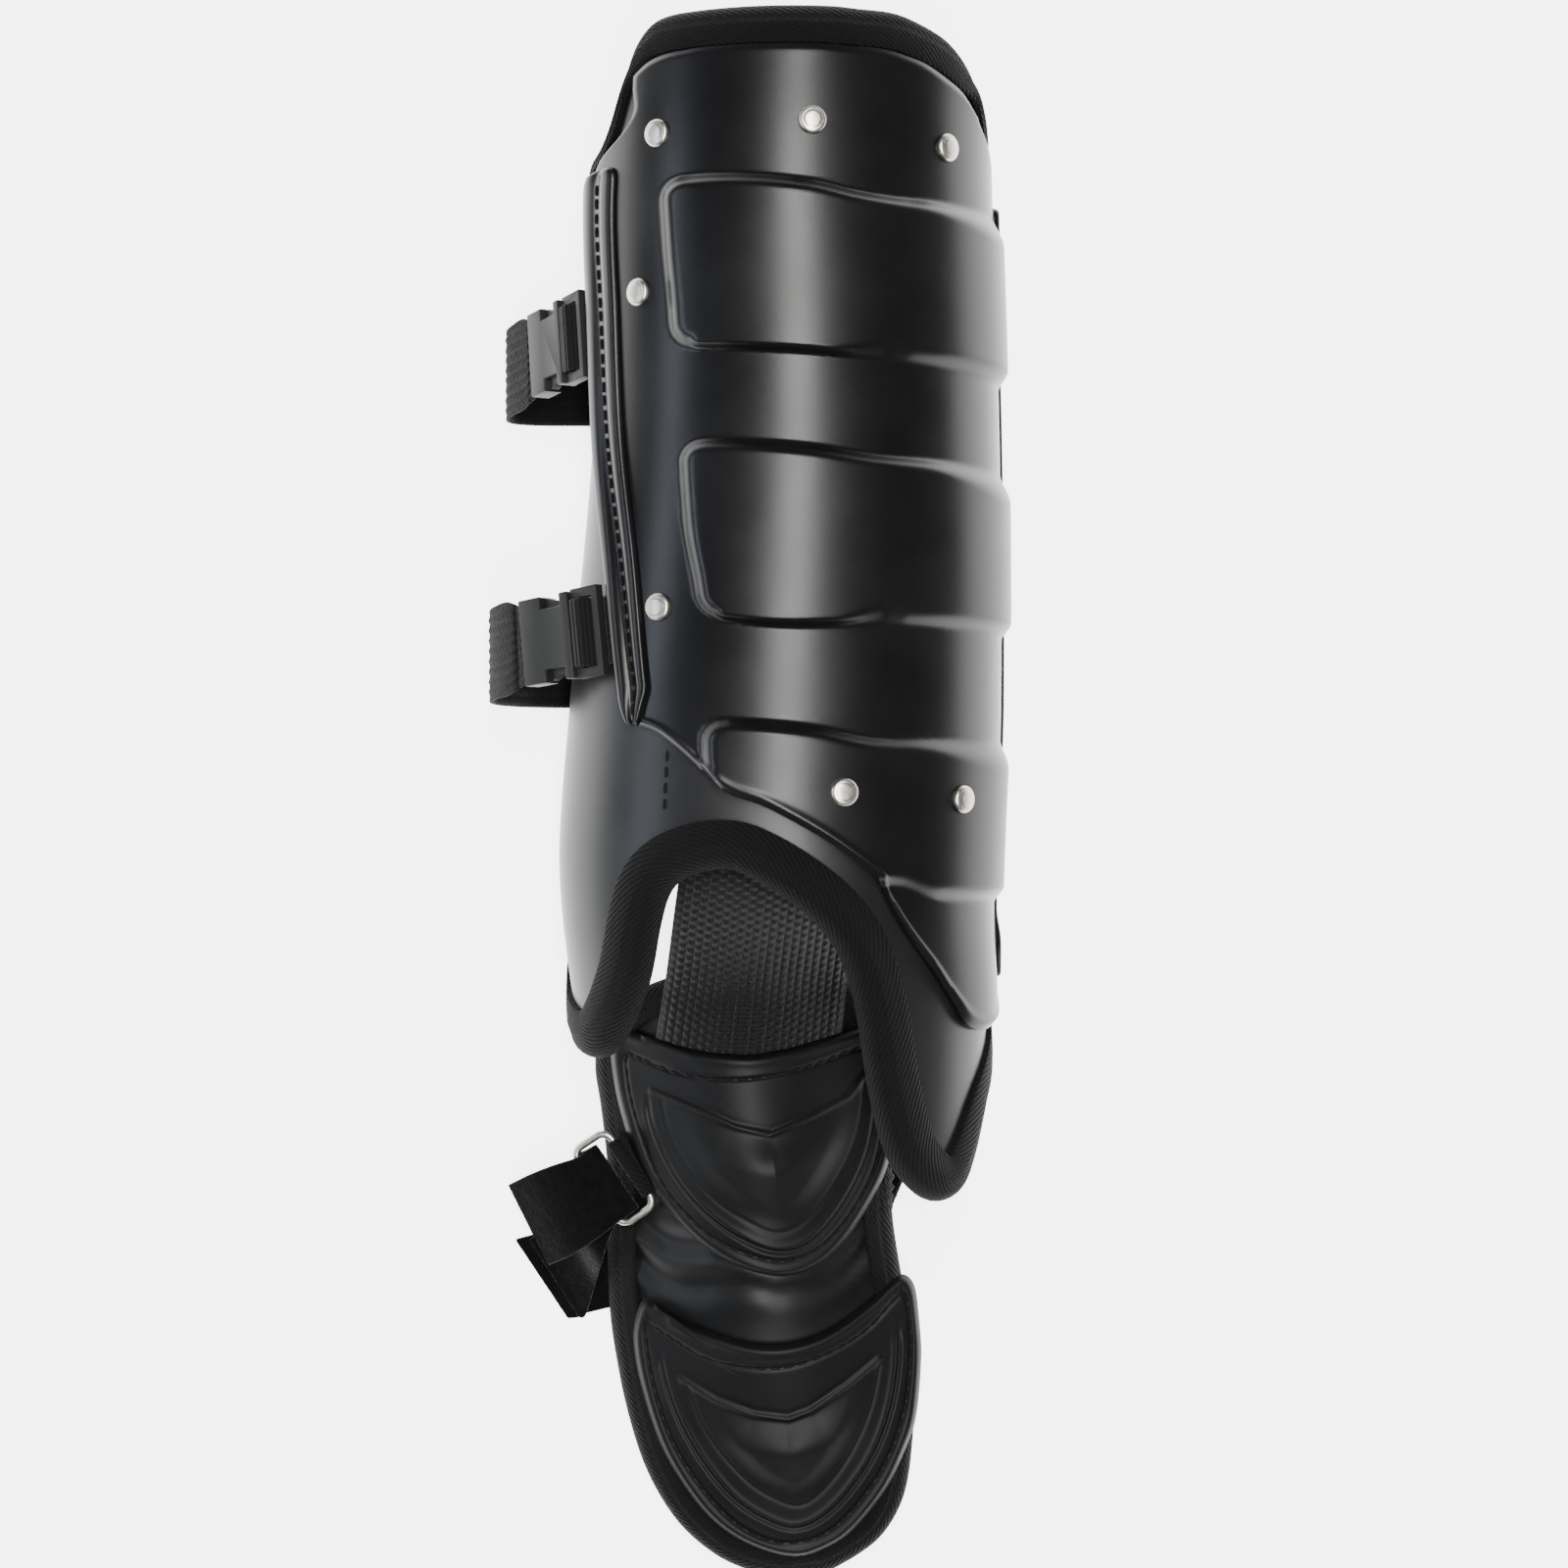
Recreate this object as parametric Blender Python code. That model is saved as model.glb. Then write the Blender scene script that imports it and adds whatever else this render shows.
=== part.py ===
# Batter's foot guard for the left leg, lying on its back: X to its right, Y towards the knee, Z up.
import math

import bmesh
import bpy
from mathutils import Matrix, Vector

# Clearance between pieces that touch
GAP = 0.0003

# Shin part: the outer face of the liner
SHIN_LENGTH = 0.350
SHIN_HALF_WIDTH = 0.064
SHIN_DEPTH = 0.088
SIDE_HEIGHT = 0.038
BACK_INCURVE = 0.008
LINER_THICKNESS = 0.008

# Hard shell, its raised panels and its side strips
SHELL_THICKNESS = 0.0024
PANEL_RISE = 0.0035
PANEL_SLOPE = 0.006
STRIP_WIDTH = 0.011
STRIP_THICKNESS = 0.0018
STRIP_OVERHANG = 0.003

# Cloth tape round the edges
BINDING_THICKNESS = 0.0012
TOP_BINDING_WIDTH = 0.0095
BACK_BINDING_WIDTH = 0.0070
ARCH_BINDING_WIDTH = 0.0120
FOOT_BINDING_WIDTH = 0.007

# Rivets
RIVET_RADIUS = 0.0040
RIVET_TOP_RADIUS = 0.0026
RIVET_HEIGHT = 0.0016
RIVET_SIDES = 10

# Calf straps and their buckles
STRAP_THICKNESS = 0.0014
WEBBING_WIDTH = 0.020
ELASTIC_WIDTH = 0.028
STRAP_TUCK = 0.0022
STRAP_SKEW = 7.0
FRAME_OFFSET = 0.0036
FRAME_LENGTH = 0.0100
FRAME_WIDTH = 0.0265
FRAME_THICKNESS = 0.0032
FRAME_BAR = 0.0022
TONGUE_LENGTH = 0.0050
TONGUE_WIDTH = 0.0150
TONGUE_SHARE = 0.7
BODY_LENGTH = 0.0190
BODY_WIDTH = 0.0255
BODY_THICKNESS = 0.0062
BODY_WALL = 0.0012
NOTCH_START = 0.16
NOTCH_END = 0.56
ELASTIC_TUCK = 0.0070
ELASTIC_LANDING = 0.45

# Elastic's way under the guard and up its right side: shares of the floor run, then how far out
# and up it turns, and how far it stays off the side, all as shares of its clearance
FLOOR_SHARES = (0.33, 0.66, 1.00)
ELASTIC_TURN = ((0.10, 0.12), (0.50, 0.75))
BACK_CLEARANCE = 1.5
SIDE_CLEARANCE = 1.15
SIDE_CLOSING = 0.8
SIDE_STEPS = 5
CURL_STEPS = 9

# Foot part
FOOT_LENGTH = 0.188
FOOT_HALF_WIDTH = 0.046
FOOT_RISE = 0.030
FOOT_LEAN = 6.5
FOOT_X = -0.0130
FOOT_Y = -0.0578
PAD_THICKNESS = 0.006
CAP_THICKNESS = 0.0025
CAP_SWELL = 0.0018

# Webbing over the ankle
WEB_WIDTH = 0.0505
WEB_THICKNESS = 0.0016
WEB_TUCK = 0.008
WEB_TOP_X = -0.0045
WEB_TOP_SHARE = 0.94
WEB_COLUMNS = 8
WEB_STEPS = 9

# Ankle webbing's place: share of the girth at the arch, share of the foot's half width, and how
# its height goes over from the arch to the foot along it
WEB_ARCH_PLACE = -0.11
WEB_FOOT_PLACE = -0.06
WEB_DROP = 1.45
WEB_DELAY = 0.16

# Foot strap and its rings
FOOT_STRAP_WIDTH = 0.028
FOOT_STRAP_THICKNESS = 0.0016
RING_LENGTH = 0.0275
RING_WIDTH = 0.0130
RING_WIRE = 0.0024
RING_CORNER = 0.0035
RING_CORNER_STEPS = 3
RING_SIDES = 6
TAB_WIDTH = 0.0200
TAB_THICKNESS = 0.0010
TAB_LENGTH = 0.0095

# Place of the lower end of the shin part, and heights that follow from the sizes above
SHIN_END = -0.129
STRAP_TOP = STRAP_THICKNESS + GAP
WALL_EASE = 0.0007
BACK_ROOM = 1.25
LINER_EASE = 0.0007
BINDING_TOP = GAP + WALL_EASE + BINDING_THICKNESS
BACK_LIFT = STRAP_TOP + BINDING_TOP * BACK_ROOM + GAP
SHELL_FOOT = GAP + WALL_EASE
SHELL_TOP = SHELL_FOOT + SHELL_THICKNESS
STRIP_FOOT = SHELL_TOP + GAP
STRIP_TOP = STRIP_FOOT + STRIP_THICKNESS
CAP_LIFT = BINDING_TOP + GAP

# Shin sections: along the length, then shares of half width, half width sideways, and depth
LEG_SECTIONS = (
    (0.000, 0.900, 0.000, 0.880),
    (0.169, 0.969, -0.016, 0.940),
    (0.257, 0.989, -0.053, 0.970),
    (0.320, 1.000, -0.055, 0.985),
    (0.440, 0.989, -0.020, 1.000),
    (0.663, 0.930, 0.031, 1.000),
    (0.883, 0.903, 0.023, 0.985),
    (1.000, 0.883, 0.039, 0.955),
)

# Liner outline: share of the girth from the front line to a back edge, then top and bottom
# as shares of the length, and the width of the top's tape as a share
LINER_OUTLINE = (
    (-1.000, 0.800, 0.265, 1.00),
    (-0.930, 0.840, 0.212, 0.60),
    (-0.800, 0.875, 0.168, 0.20),
    (-0.690, 0.890, 0.150, 0.17),
    (-0.620, 0.898, 0.143, 0.17),
    (-0.560, 0.904, 0.143, 0.17),
    (-0.510, 0.922, 0.150, 0.17),
    (-0.475, 0.952, 0.160, 0.30),
    (-0.435, 0.982, 0.174, 0.80),
    (-0.385, 0.996, 0.198, 1.00),
    (-0.350, 0.999, 0.222, 1.00),
    (-0.315, 1.000, 0.255, 1.00),
    (-0.280, 1.000, 0.282, 1.00),
    (-0.220, 1.000, 0.298, 1.00),
    (-0.110, 1.000, 0.306, 1.00),
    (-0.030, 1.000, 0.296, 1.00),
    (0.050, 1.000, 0.279, 1.00),
    (0.118, 1.000, 0.260, 1.00),
    (0.170, 0.999, 0.238, 1.00),
    (0.202, 0.999, 0.210, 1.00),
    (0.225, 0.999, 0.170, 1.00),
    (0.247, 0.999, 0.125, 1.00),
    (0.285, 0.998, 0.080, 1.00),
    (0.340, 0.994, 0.047, 1.00),
    (0.440, 0.985, 0.024, 1.00),
    (0.530, 0.968, 0.029, 0.80),
    (0.585, 0.952, 0.052, 0.30),
    (0.640, 0.932, 0.085, 0.17),
    (0.700, 0.914, 0.107, 0.17),
    (0.780, 0.900, 0.132, 0.20),
    (0.900, 0.868, 0.172, 0.60),
    (1.000, 0.820, 0.240, 1.00),
)

# Side edges of the shell: along the length, then shares of the girth
SHELL_SIDES = (
    (0.150, -0.330, 0.690),
    (0.190, -0.330, 0.785),
    (0.410, -0.330, 0.800),
    (0.440, -0.357, 0.800),
    (0.548, -0.431, 0.800),
    (0.665, -0.524, 0.800),
    (0.767, -0.566, 0.795),
    (0.870, -0.595, 0.770),
    (0.890, -0.560, 0.715),
    (0.908, -0.460, 0.640),
    (0.925, -0.412, 0.560),
    (0.945, -0.418, 0.540),
    (0.980, -0.420, 0.530),
)

# Top and bottom edges of the shell: share across it, then shares of the length
SHELL_ENDS = (
    (0.000, 0.956, 0.417),
    (0.050, 0.965, 0.409),
    (0.104, 0.969, 0.393),
    (0.158, 0.970, 0.374),
    (0.208, 0.971, 0.360),
    (0.264, 0.971, 0.352),
    (0.319, 0.971, 0.341),
    (0.389, 0.971, 0.325),
    (0.459, 0.971, 0.306),
    (0.512, 0.971, 0.289),
    (0.547, 0.970, 0.265),
    (0.592, 0.970, 0.238),
    (0.646, 0.970, 0.212),
    (0.688, 0.969, 0.192),
    (0.742, 0.966, 0.174),
    (0.800, 0.962, 0.164),
    (0.866, 0.954, 0.161),
    (0.934, 0.945, 0.168),
    (1.000, 0.930, 0.192),
)

# Lines across the shell, above and below the panels' edges, as shares of the length
SHELL_LINES = (
    0.430, 0.465, 0.490, 0.505, 0.540, 0.585, 0.625, 0.640, 0.655, 0.685, 0.704, 0.720, 0.760,
    0.800, 0.835, 0.850, 0.866, 0.890, 0.912, 0.930,
)
SHELL_LOWER_STEPS = 8
SHELL_UPPER_STEPS = 2

# Raised panels: top edge at the front line and its fall to the right side, bottom edge and its
# fall, left edge at the top and at the bottom
PANELS = (
    (0.862, 0.030, 0.717, 0.028, -0.300, -0.262),
    (0.647, 0.026, 0.496, 0.010, -0.255, -0.198),
    (0.421, 0.032, 0.318, 0.095, -0.160, -0.140),
)
PANEL_RIGHT = 0.635

# The lowest panel's bottom edge stays above this line: share of the girth, share of the length
LOWEST_EDGE = (
    (-1.00, 0.413),
    (0.00, 0.318),
    (0.22, 0.285),
    (1.00, 0.250),
)

# Edge strips: lower and upper ends as shares of the length, left then right
STRIP_ENDS = (
    (0.418, 0.880),
    (0.200, 0.866),
)
STRIP_STEPS = 22
STRIP_SHARES = (0.00, 0.35, 0.70, 1.00)
STRIP_END_STEPS = 2
STRIP_END_WIDTH = 0.35

# Rivets: share of the girth, share of the length
RIVETS = (
    (-0.327, 0.903),
    (0.053, 0.907),
    (0.407, 0.895),
    (-0.381, 0.774),
    (-0.293, 0.513),
    (0.151, 0.362),
    (0.445, 0.356),
)

# Calf straps: name, place of their front end along the length, slope of the buckle in degrees, and
# how far the elastic bulges as a share of the height at which it leaves the buckle
CALF_STRAPS = (
    ("upper", 0.752, 56.0, 1.05),
    ("lower", 0.498, 37.0, 0.52),
)

# Foot pad: along it, left and right edges as shares of its half width
PAD_EDGES = (
    (0.000, -0.40, 0.32),
    (0.021, -0.68, 0.54),
    (0.055, -0.88, 0.72),
    (0.104, -0.99, 0.82),
    (0.142, -1.02, 0.86),
    (0.194, -1.01, 0.87),
    (0.298, -1.01, 0.84),
    (0.388, -1.05, 0.79),
    (0.440, -1.08, 0.77),
    (0.543, -1.11, 0.79),
    (0.622, -1.10, 0.82),
    (0.705, -1.07, 0.80),
    (0.803, -0.99, 0.74),
    (0.890, -0.83, 0.65),
    (0.948, -0.62, 0.49),
    (0.979, -0.43, 0.30),
    (1.000, -0.22, 0.10),
)
PAD_COLUMNS = 11

# Foot form: along it, height of its crest over its sides as a share of the rise, height of its
# sides' underside over the floor as a share of the rise
FOOT_SECTIONS = (
    (0.00, 0.780, 0.240),
    (0.15, 0.780, 0.230),
    (0.32, 0.740, 0.220),
    (0.45, 0.660, 0.228),
    (0.60, 0.520, 0.200),
    (0.75, 0.350, 0.140),
    (0.90, 0.150, 0.100),
    (1.00, 0.020, 0.090),
)
FOOT_MIDDLE = -0.09
FOOT_TILT = 0.095

# Caps: share of the foot's half width, then their top and bottom as shares of its length
INSTEP_CAP = (
    (-0.930, 0.106, 0.160),
    (-0.890, 0.072, 0.223),
    (-0.800, 0.076, 0.310),
    (-0.650, 0.086, 0.372),
    (-0.455, 0.104, 0.428),
    (-0.240, 0.119, 0.466),
    (0.000, 0.127, 0.488),
    (0.240, 0.127, 0.484),
    (0.480, 0.120, 0.450),
    (0.700, 0.113, 0.391),
    (0.830, 0.109, 0.340),
    (0.890, 0.116, 0.287),
)
TOE_CAP = (
    (-1.005, 0.564, 0.638),
    (-0.975, 0.545, 0.681),
    (-0.915, 0.524, 0.755),
    (-0.780, 0.540, 0.835),
    (-0.610, 0.560, 0.899),
    (-0.370, 0.585, 0.947),
    (-0.085, 0.603, 0.971),
    (0.150, 0.600, 0.960),
    (0.350, 0.588, 0.934),
    (0.565, 0.563, 0.878),
    (0.720, 0.537, 0.819),
    (0.830, 0.525, 0.761),
    (0.900, 0.542, 0.670),
    (0.925, 0.574, 0.617),
)
CAP_LINES = 9

# Places on the foot, as shares of its half width and length
RIGHT_RING = (0.665, 0.390)
LEFT_RING = (-1.055, 0.308)
STRAP_FOLD = (-1.470, 0.474)
STRAP_END = (-1.630, 0.379)
STRAP_CLIMB = ((0.30, 0.32), (0.55, 0.86), (0.78, 1.00))
STRAP_END_HEIGHT = 0.50

# Distances of the foot strap's run past the right ring, and shares of its free end
STRAP_RUNS = (0.014, 0.030)
STRAP_END_SHARES = (0.30, 0.65, 1.00)

# Places along the ring tabs as shares of their length, and how far their faces lean
LEFT_TAB_SHARES = (1.00, 0.70, 0.40)
RIGHT_TAB_SHARES = (1.00, 0.55)
TAB_LEAN = 0.4

# Angles at which straps and tabs wrap round the rings' bars, in degrees
RIGHT_WRAP = (-30, 0, 35, 70, 110, 145, 170)
LEFT_WRAP = (0, 40, 80, 120, 160, 180)
LEFT_TAB_WRAP = (-50, 0, 45, 90, 135, 170)
RIGHT_TAB_WRAP = (0, 45, 90, 135, 180, 225)

# Turns about Z, and the left ring's tilt, in degrees
FOLD_TURN = 26.0
END_TURN = 20.0
LEFT_RING_TURN = 34.0
LEFT_RING_TILT = -12.0
LEFT_RING_HEIGHT = 0.0105
RIGHT_RING_TURN = -23.0

SMALL = 1e-7
TURN_LIMIT = 0.6
SHARP_ANGLE = 35


def curve_read(rows, at):
    """Values between the rows of a table, on a smooth curve through them."""
    if at <= rows[0][0]:
        return rows[0][1:]
    if at >= rows[-1][0]:
        return rows[-1][1:]
    last = len(rows) - 1
    low = max(index for index in range(last) if rows[index][0] <= at)
    first, second = rows[low], rows[low + 1]
    span = second[0] - first[0]
    share = (at - first[0]) / span
    before, after = rows[max(low - 1, 0)], rows[min(low + 2, last)]
    values = []
    for column in range(1, len(first)):
        rise_in = (second[column] - before[column]) / (second[0] - before[0]) * span
        rise_out = (after[column] - first[column]) / (after[0] - first[0]) * span
        values.append(
            (2 * share**3 - 3 * share**2 + 1) * first[column]
            + (share**3 - 2 * share**2 + share) * rise_in
            + (3 * share**2 - 2 * share**3) * second[column]
            + (share**3 - share**2) * rise_out
        )
    return values


def line_read(rows, at):
    """Values between the rows of a table, on straight lines."""
    for first, second in zip(rows, rows[1:]):
        if at <= second[0]:
            break
    share = min(max((at - first[0]) / (second[0] - first[0]), 0), 1)
    return [a + (b - a) * share for a, b in zip(first[1:], second[1:])]


def ease(value):
    value = min(max(value, 0), 1)
    return value * value * (3 - 2 * value)


def mix(first, second, share):
    return first + (second - first) * share


# Shin form
ARC_STEPS = 60
section_cache = {}


def leg_section(length):
    """Half width, height over the sides, middle, and the arc's length at each of its steps."""
    key = round(length / SHIN_LENGTH, 5)
    if key not in section_cache:
        width, lean, depth = curve_read(LEG_SECTIONS, key)
        half = width * SHIN_HALF_WIDTH
        rise = depth * SHIN_DEPTH - SIDE_HEIGHT
        arc = [0.0]
        point = (0.0, rise)
        for step in range(1, ARC_STEPS + 1):
            angle = step / ARC_STEPS * math.pi / 2
            beyond = (half * math.sin(angle), rise * math.cos(angle))
            arc.append(arc[-1] + math.dist(point, beyond))
            point = beyond
        section_cache[key] = (half, rise, lean * SHIN_HALF_WIDTH, arc)
    return section_cache[key]


def girth(length):
    """From the front line round to a back edge."""
    return leg_section(length)[3][-1] + SIDE_HEIGHT - BACK_LIFT


def on_leg(around, length, height):
    """A point that lies around from the front line, length from the lower end, height off the liner."""
    half, rise, middle, arc = leg_section(length)
    side = 1 if around >= 0 else -1
    around = abs(around)
    if around <= arc[-1]:
        step = max(index for index in range(ARC_STEPS) if arc[index] <= around)
        angle = (step + (around - arc[step]) / (arc[step + 1] - arc[step])) / ARC_STEPS * math.pi / 2
        across, up = half * math.sin(angle), rise * math.cos(angle)
        normal = Vector((rise * math.sin(angle), half * math.cos(angle))).normalized()
    else:
        below = around - arc[-1]
        bend = BACK_INCURVE / (SIDE_HEIGHT - BACK_LIFT) ** 2
        across, up = half - bend * below * below, -below
        normal = Vector((1, -2 * bend * below)).normalized()
    across += height * normal.x
    return Vector((middle + side * across, SHIN_END + length, SIDE_HEIGHT + up + height * normal.y))


def leg_share(around, length, height):
    """The same, from shares of the girth and of the length."""
    return on_leg(around * girth(length * SHIN_LENGTH), length * SHIN_LENGTH, height)


def leg_normal(around, length):
    return (leg_share(around, length, SHELL_TOP) - leg_share(around, length, 0)).normalized()


def panel_height(around, length):
    """How far the shell is raised there by its panels."""
    slope_around = PANEL_SLOPE / girth(length * SHIN_LENGTH)
    slope_along = PANEL_SLOPE / SHIN_LENGTH
    height = 0
    for top, top_fall, bottom, bottom_fall, left_top, left_bottom in PANELS:
        right = min(max(around, 0), PANEL_RIGHT) / PANEL_RIGHT
        upper = top - top_fall * right
        lower = max(bottom - bottom_fall * right, line_read(LOWEST_EDGE, around)[0])
        left = mix(left_bottom, left_top, (length - lower) / (upper - lower))
        inside = min(
            (around - left) / slope_around,
            (PANEL_RIGHT - around) / slope_around,
            (upper - length) / slope_along,
            (length - lower) / slope_along,
        )
        height = max(height, ease(inside))
    return height * PANEL_RISE


# Foot form
def foot_frame():
    return Matrix.Translation((FOOT_X, FOOT_Y, 0)) @ Matrix.Rotation(math.radians(FOOT_LEAN), 4, "Z")


def pad_height(across, along):
    """Height of the pad's top over the floor; across and along are lengths on the foot."""
    crest, lift = curve_read(FOOT_SECTIONS, along / FOOT_LENGTH)
    reach = across / FOOT_HALF_WIDTH - FOOT_MIDDLE
    arch = mix(1 - reach * reach, 0.5 + 0.5 * math.cos(math.pi * reach), 0.5)
    lift += FOOT_TILT * reach * crest
    return lift * FOOT_RISE + PAD_THICKNESS + crest * FOOT_RISE * arch


def on_foot(across, along, height):
    """A point across and along the foot, height over the pad's top."""
    return foot_frame() @ Vector((across, -along, pad_height(across, along) + height))


def floor_point(across, along, height):
    """A point across and along the foot, from shares of its sizes, height over the floor."""
    return foot_frame() @ Vector((across * FOOT_HALF_WIDTH, -along * FOOT_LENGTH, height))


# Making solids
def material(name, colour, roughness, metallic=0.0):
    finish = bpy.data.materials.new(name)
    finish.use_nodes = True
    shader = finish.node_tree.nodes["Principled BSDF"]
    shader.inputs["Base Color"].default_value = (*colour, 1)
    shader.inputs["Roughness"].default_value = roughness
    shader.inputs["Metallic"].default_value = metallic
    return finish


def add_object(name, mesh, finish):
    """An object from a bmesh, with its normals out, under the guard's frame."""
    bmesh.ops.recalc_face_normals(mesh, faces=list(mesh.faces))
    data = bpy.data.meshes.new(name)
    mesh.to_mesh(data)
    mesh.free()
    data.shade_smooth()
    data.set_sharp_from_angle(angle=math.radians(SHARP_ANGLE))
    data.materials.append(finish)
    added = bpy.data.objects.new(name, data)
    bpy.context.scene.collection.objects.link(added)
    added.parent = guard_frame
    return added


def sheet(name, across, along, outer, inner, finish):
    """A wall over a grid: outer and inner give the point at each pair of grid values."""
    mesh = bmesh.new()
    columns, rows = len(across) - 1, len(along) - 1
    bmesh.ops.create_grid(mesh, x_segments=columns, y_segments=rows, size=0.5)
    extruded = bmesh.ops.extrude_face_region(mesh, geom=list(mesh.faces), use_keep_orig=True)
    inside = {item for item in extruded["geom"] if isinstance(item, bmesh.types.BMVert)}
    for vert in mesh.verts:
        column = round((vert.co.x + 0.5) * columns)
        row = round((vert.co.y + 0.5) * rows)
        place = inner if vert in inside else outer
        vert.co = place(across[column], along[row])
    return add_object(name, mesh, finish)


def sweep(name, sections, closed, finish):
    """A solid through sections, each a ring of as many points."""
    mesh = bmesh.new()
    sides, steps = len(sections[0]), len(sections) - (0 if closed else 1)
    bmesh.ops.create_grid(mesh, x_segments=sides, y_segments=steps, size=0.5)
    for vert in mesh.verts:
        side = round((vert.co.x + 0.5) * sides) % sides
        step = round((vert.co.y + 0.5) * steps) % len(sections)
        vert.co = sections[step][side]
    bmesh.ops.remove_doubles(mesh, verts=list(mesh.verts), dist=SMALL)
    rims = [edge for edge in mesh.edges if edge.is_boundary]
    if rims:
        bmesh.ops.holes_fill(mesh, edges=rims, sides=sides)
    return add_object(name, mesh, finish)


def ribbon(name, stations, thickness, finish):
    """A strap through stations, each its two edges and the way its face looks."""
    half = thickness / 2
    sections = []
    for left, right, normal in stations:
        out = normal * half
        sections.append([left + out, right + out, right - out, left - out])
    return sweep(name, sections, False, finish)


def block(name, low, high, place, finish):
    """A box between two corners, placed by a matrix."""
    mesh = bmesh.new()
    size = Vector(high) - Vector(low)
    middle = (Vector(high) + Vector(low)) / 2
    bmesh.ops.create_cube(mesh, size=1, matrix=Matrix.Translation(middle) @ Matrix.Diagonal((*size, 1)))
    added = add_object(name, mesh, finish)
    added.matrix_local = place
    return added


def combine(target, other, operation):
    """A Boolean on the target, with the other as its hidden helper."""
    other.hide_render = True
    other.display_type = "WIRE"
    change = target.modifiers.new(other.name, "BOOLEAN")
    change.operation = operation
    change.object = other
    change.solver = "EXACT"


# Shin pieces
def outline_ring(across, along):
    """Grid places round a sheet's rim, in order."""
    ring = [(column, along[0]) for column in across]
    ring += [(across[-1], row) for row in along[1:]]
    ring += [(column, along[-1]) for column in reversed(across[:-1])]
    ring += [(across[0], row) for row in reversed(along[1:-1])]
    return ring


def inward_turns(outline):
    """At each point of a closed outline, the way inwards, lengthened where the outline turns."""
    ways = []
    for index, point in enumerate(outline):
        before = (point - outline[index - 1]).normalized()
        after = (outline[(index + 1) % len(outline)] - point).normalized()
        first = Vector((-before.y, before.x))
        second = Vector((-after.y, after.x))
        middle = (first + second).normalized()
        ways.append(middle / max(middle.dot(first), TURN_LIMIT))
    return ways


LINER_ROWS = 15
LINER_ACROSS = [row[0] for row in LINER_OUTLINE]
LINER_ALONG = [step / LINER_ROWS for step in range(LINER_ROWS + 1)]


def liner_flat(around, share):
    """A place on the liner laid flat: around the leg and along it, as lengths."""
    top, bottom, _ = line_read(LINER_OUTLINE, around)
    length = mix(bottom, top, share) * SHIN_LENGTH
    return Vector((around * girth(length), length))


def make_liner():
    def outer(around, share):
        return on_leg(*liner_flat(around, share), 0)

    def inner(around, share):
        return on_leg(*liner_flat(around, share), -LINER_THICKNESS)

    sheet("shin_liner", LINER_ACROSS, LINER_ALONG, outer, inner, matte_vinyl)


def binding_width(around, share):
    """Width of the tape at a place on the liner's rim."""
    if share == LINER_ALONG[0]:
        return ARCH_BINDING_WIDTH
    if share == LINER_ALONG[-1]:
        return TOP_BINDING_WIDTH * line_read(LINER_OUTLINE, around)[2]
    return BACK_BINDING_WIDTH


def channel(width, thickness, wall, curve_ease):
    """A folded tape's section: inset from the edge, height over the wall's outer face."""
    high = GAP + WALL_EASE
    low = -wall - high - curve_ease
    rim = -GAP - curve_ease
    return (
        (width, high),
        (width, high + thickness),
        (rim - thickness, high + thickness),
        (rim - thickness, low - thickness),
        (width, low - thickness),
        (width, low),
        (rim, low),
        (rim, high),
    )


def make_liner_binding():
    places = outline_ring(LINER_ACROSS, LINER_ALONG)
    outline = [liner_flat(*place) for place in places]
    sections = []
    for place, point, inward in zip(places, outline, inward_turns(outline)):
        section = []
        width = binding_width(*place)
        for inset, height in channel(width, BINDING_THICKNESS, LINER_THICKNESS, LINER_EASE):
            flat = point + inward * inset
            section.append(on_leg(flat.x, flat.y, height))
        sections.append(section)
    sweep("liner_binding", sections, True, black_tape)


def shell_place(share, step):
    """Girth and length shares at a place on the shell's grid."""
    top, bottom = line_read(SHELL_ENDS, share)
    if step < 0:
        length = mix(bottom, SHELL_LINES[0], 1 + step)
    elif step > len(SHELL_LINES) - 1:
        length = mix(SHELL_LINES[-1], top, step - len(SHELL_LINES) + 1)
    else:
        length = SHELL_LINES[round(step)]
    left, right = line_read(SHELL_SIDES, length)
    return mix(left, right, share), length


def make_shell():
    steps = [step / SHELL_LOWER_STEPS - 1 for step in range(SHELL_LOWER_STEPS)]
    steps += [float(step) for step in range(len(SHELL_LINES))]
    steps += [len(SHELL_LINES) - 1 + (step + 1) / SHELL_UPPER_STEPS for step in range(SHELL_UPPER_STEPS)]

    def outer(share, step):
        around, length = shell_place(share, step)
        return leg_share(around, length, SHELL_TOP + panel_height(around, length))

    def inner(share, step):
        around, length = shell_place(share, step)
        return leg_share(around, length, SHELL_FOOT + panel_height(around, length))

    sheet("shin_shell", [row[0] for row in SHELL_ENDS], steps, outer, inner, black_shell)


def make_strip(name, side):
    """A sewn strip over one side edge of the shell."""
    column = 0 if side < 0 else 1
    first, last = STRIP_ENDS[column]

    def place(share, step, height):
        length = mix(first, last, step / STRIP_STEPS)
        edge = line_read(SHELL_SIDES, length)[column] * girth(length * SHIN_LENGTH)
        ends = ease(min(step, STRIP_STEPS - step) / STRIP_END_STEPS + STRIP_END_WIDTH)
        outwards = mix(STRIP_OVERHANG - STRIP_WIDTH, STRIP_OVERHANG, share * ends)
        return on_leg(edge + side * outwards, length * SHIN_LENGTH, height)

    def outer(share, step):
        return place(share, step, STRIP_TOP)

    def inner(share, step):
        return place(share, step, STRIP_FOOT)

    sheet(name, STRIP_SHARES, range(STRIP_STEPS + 1), outer, inner, black_shell)


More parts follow.
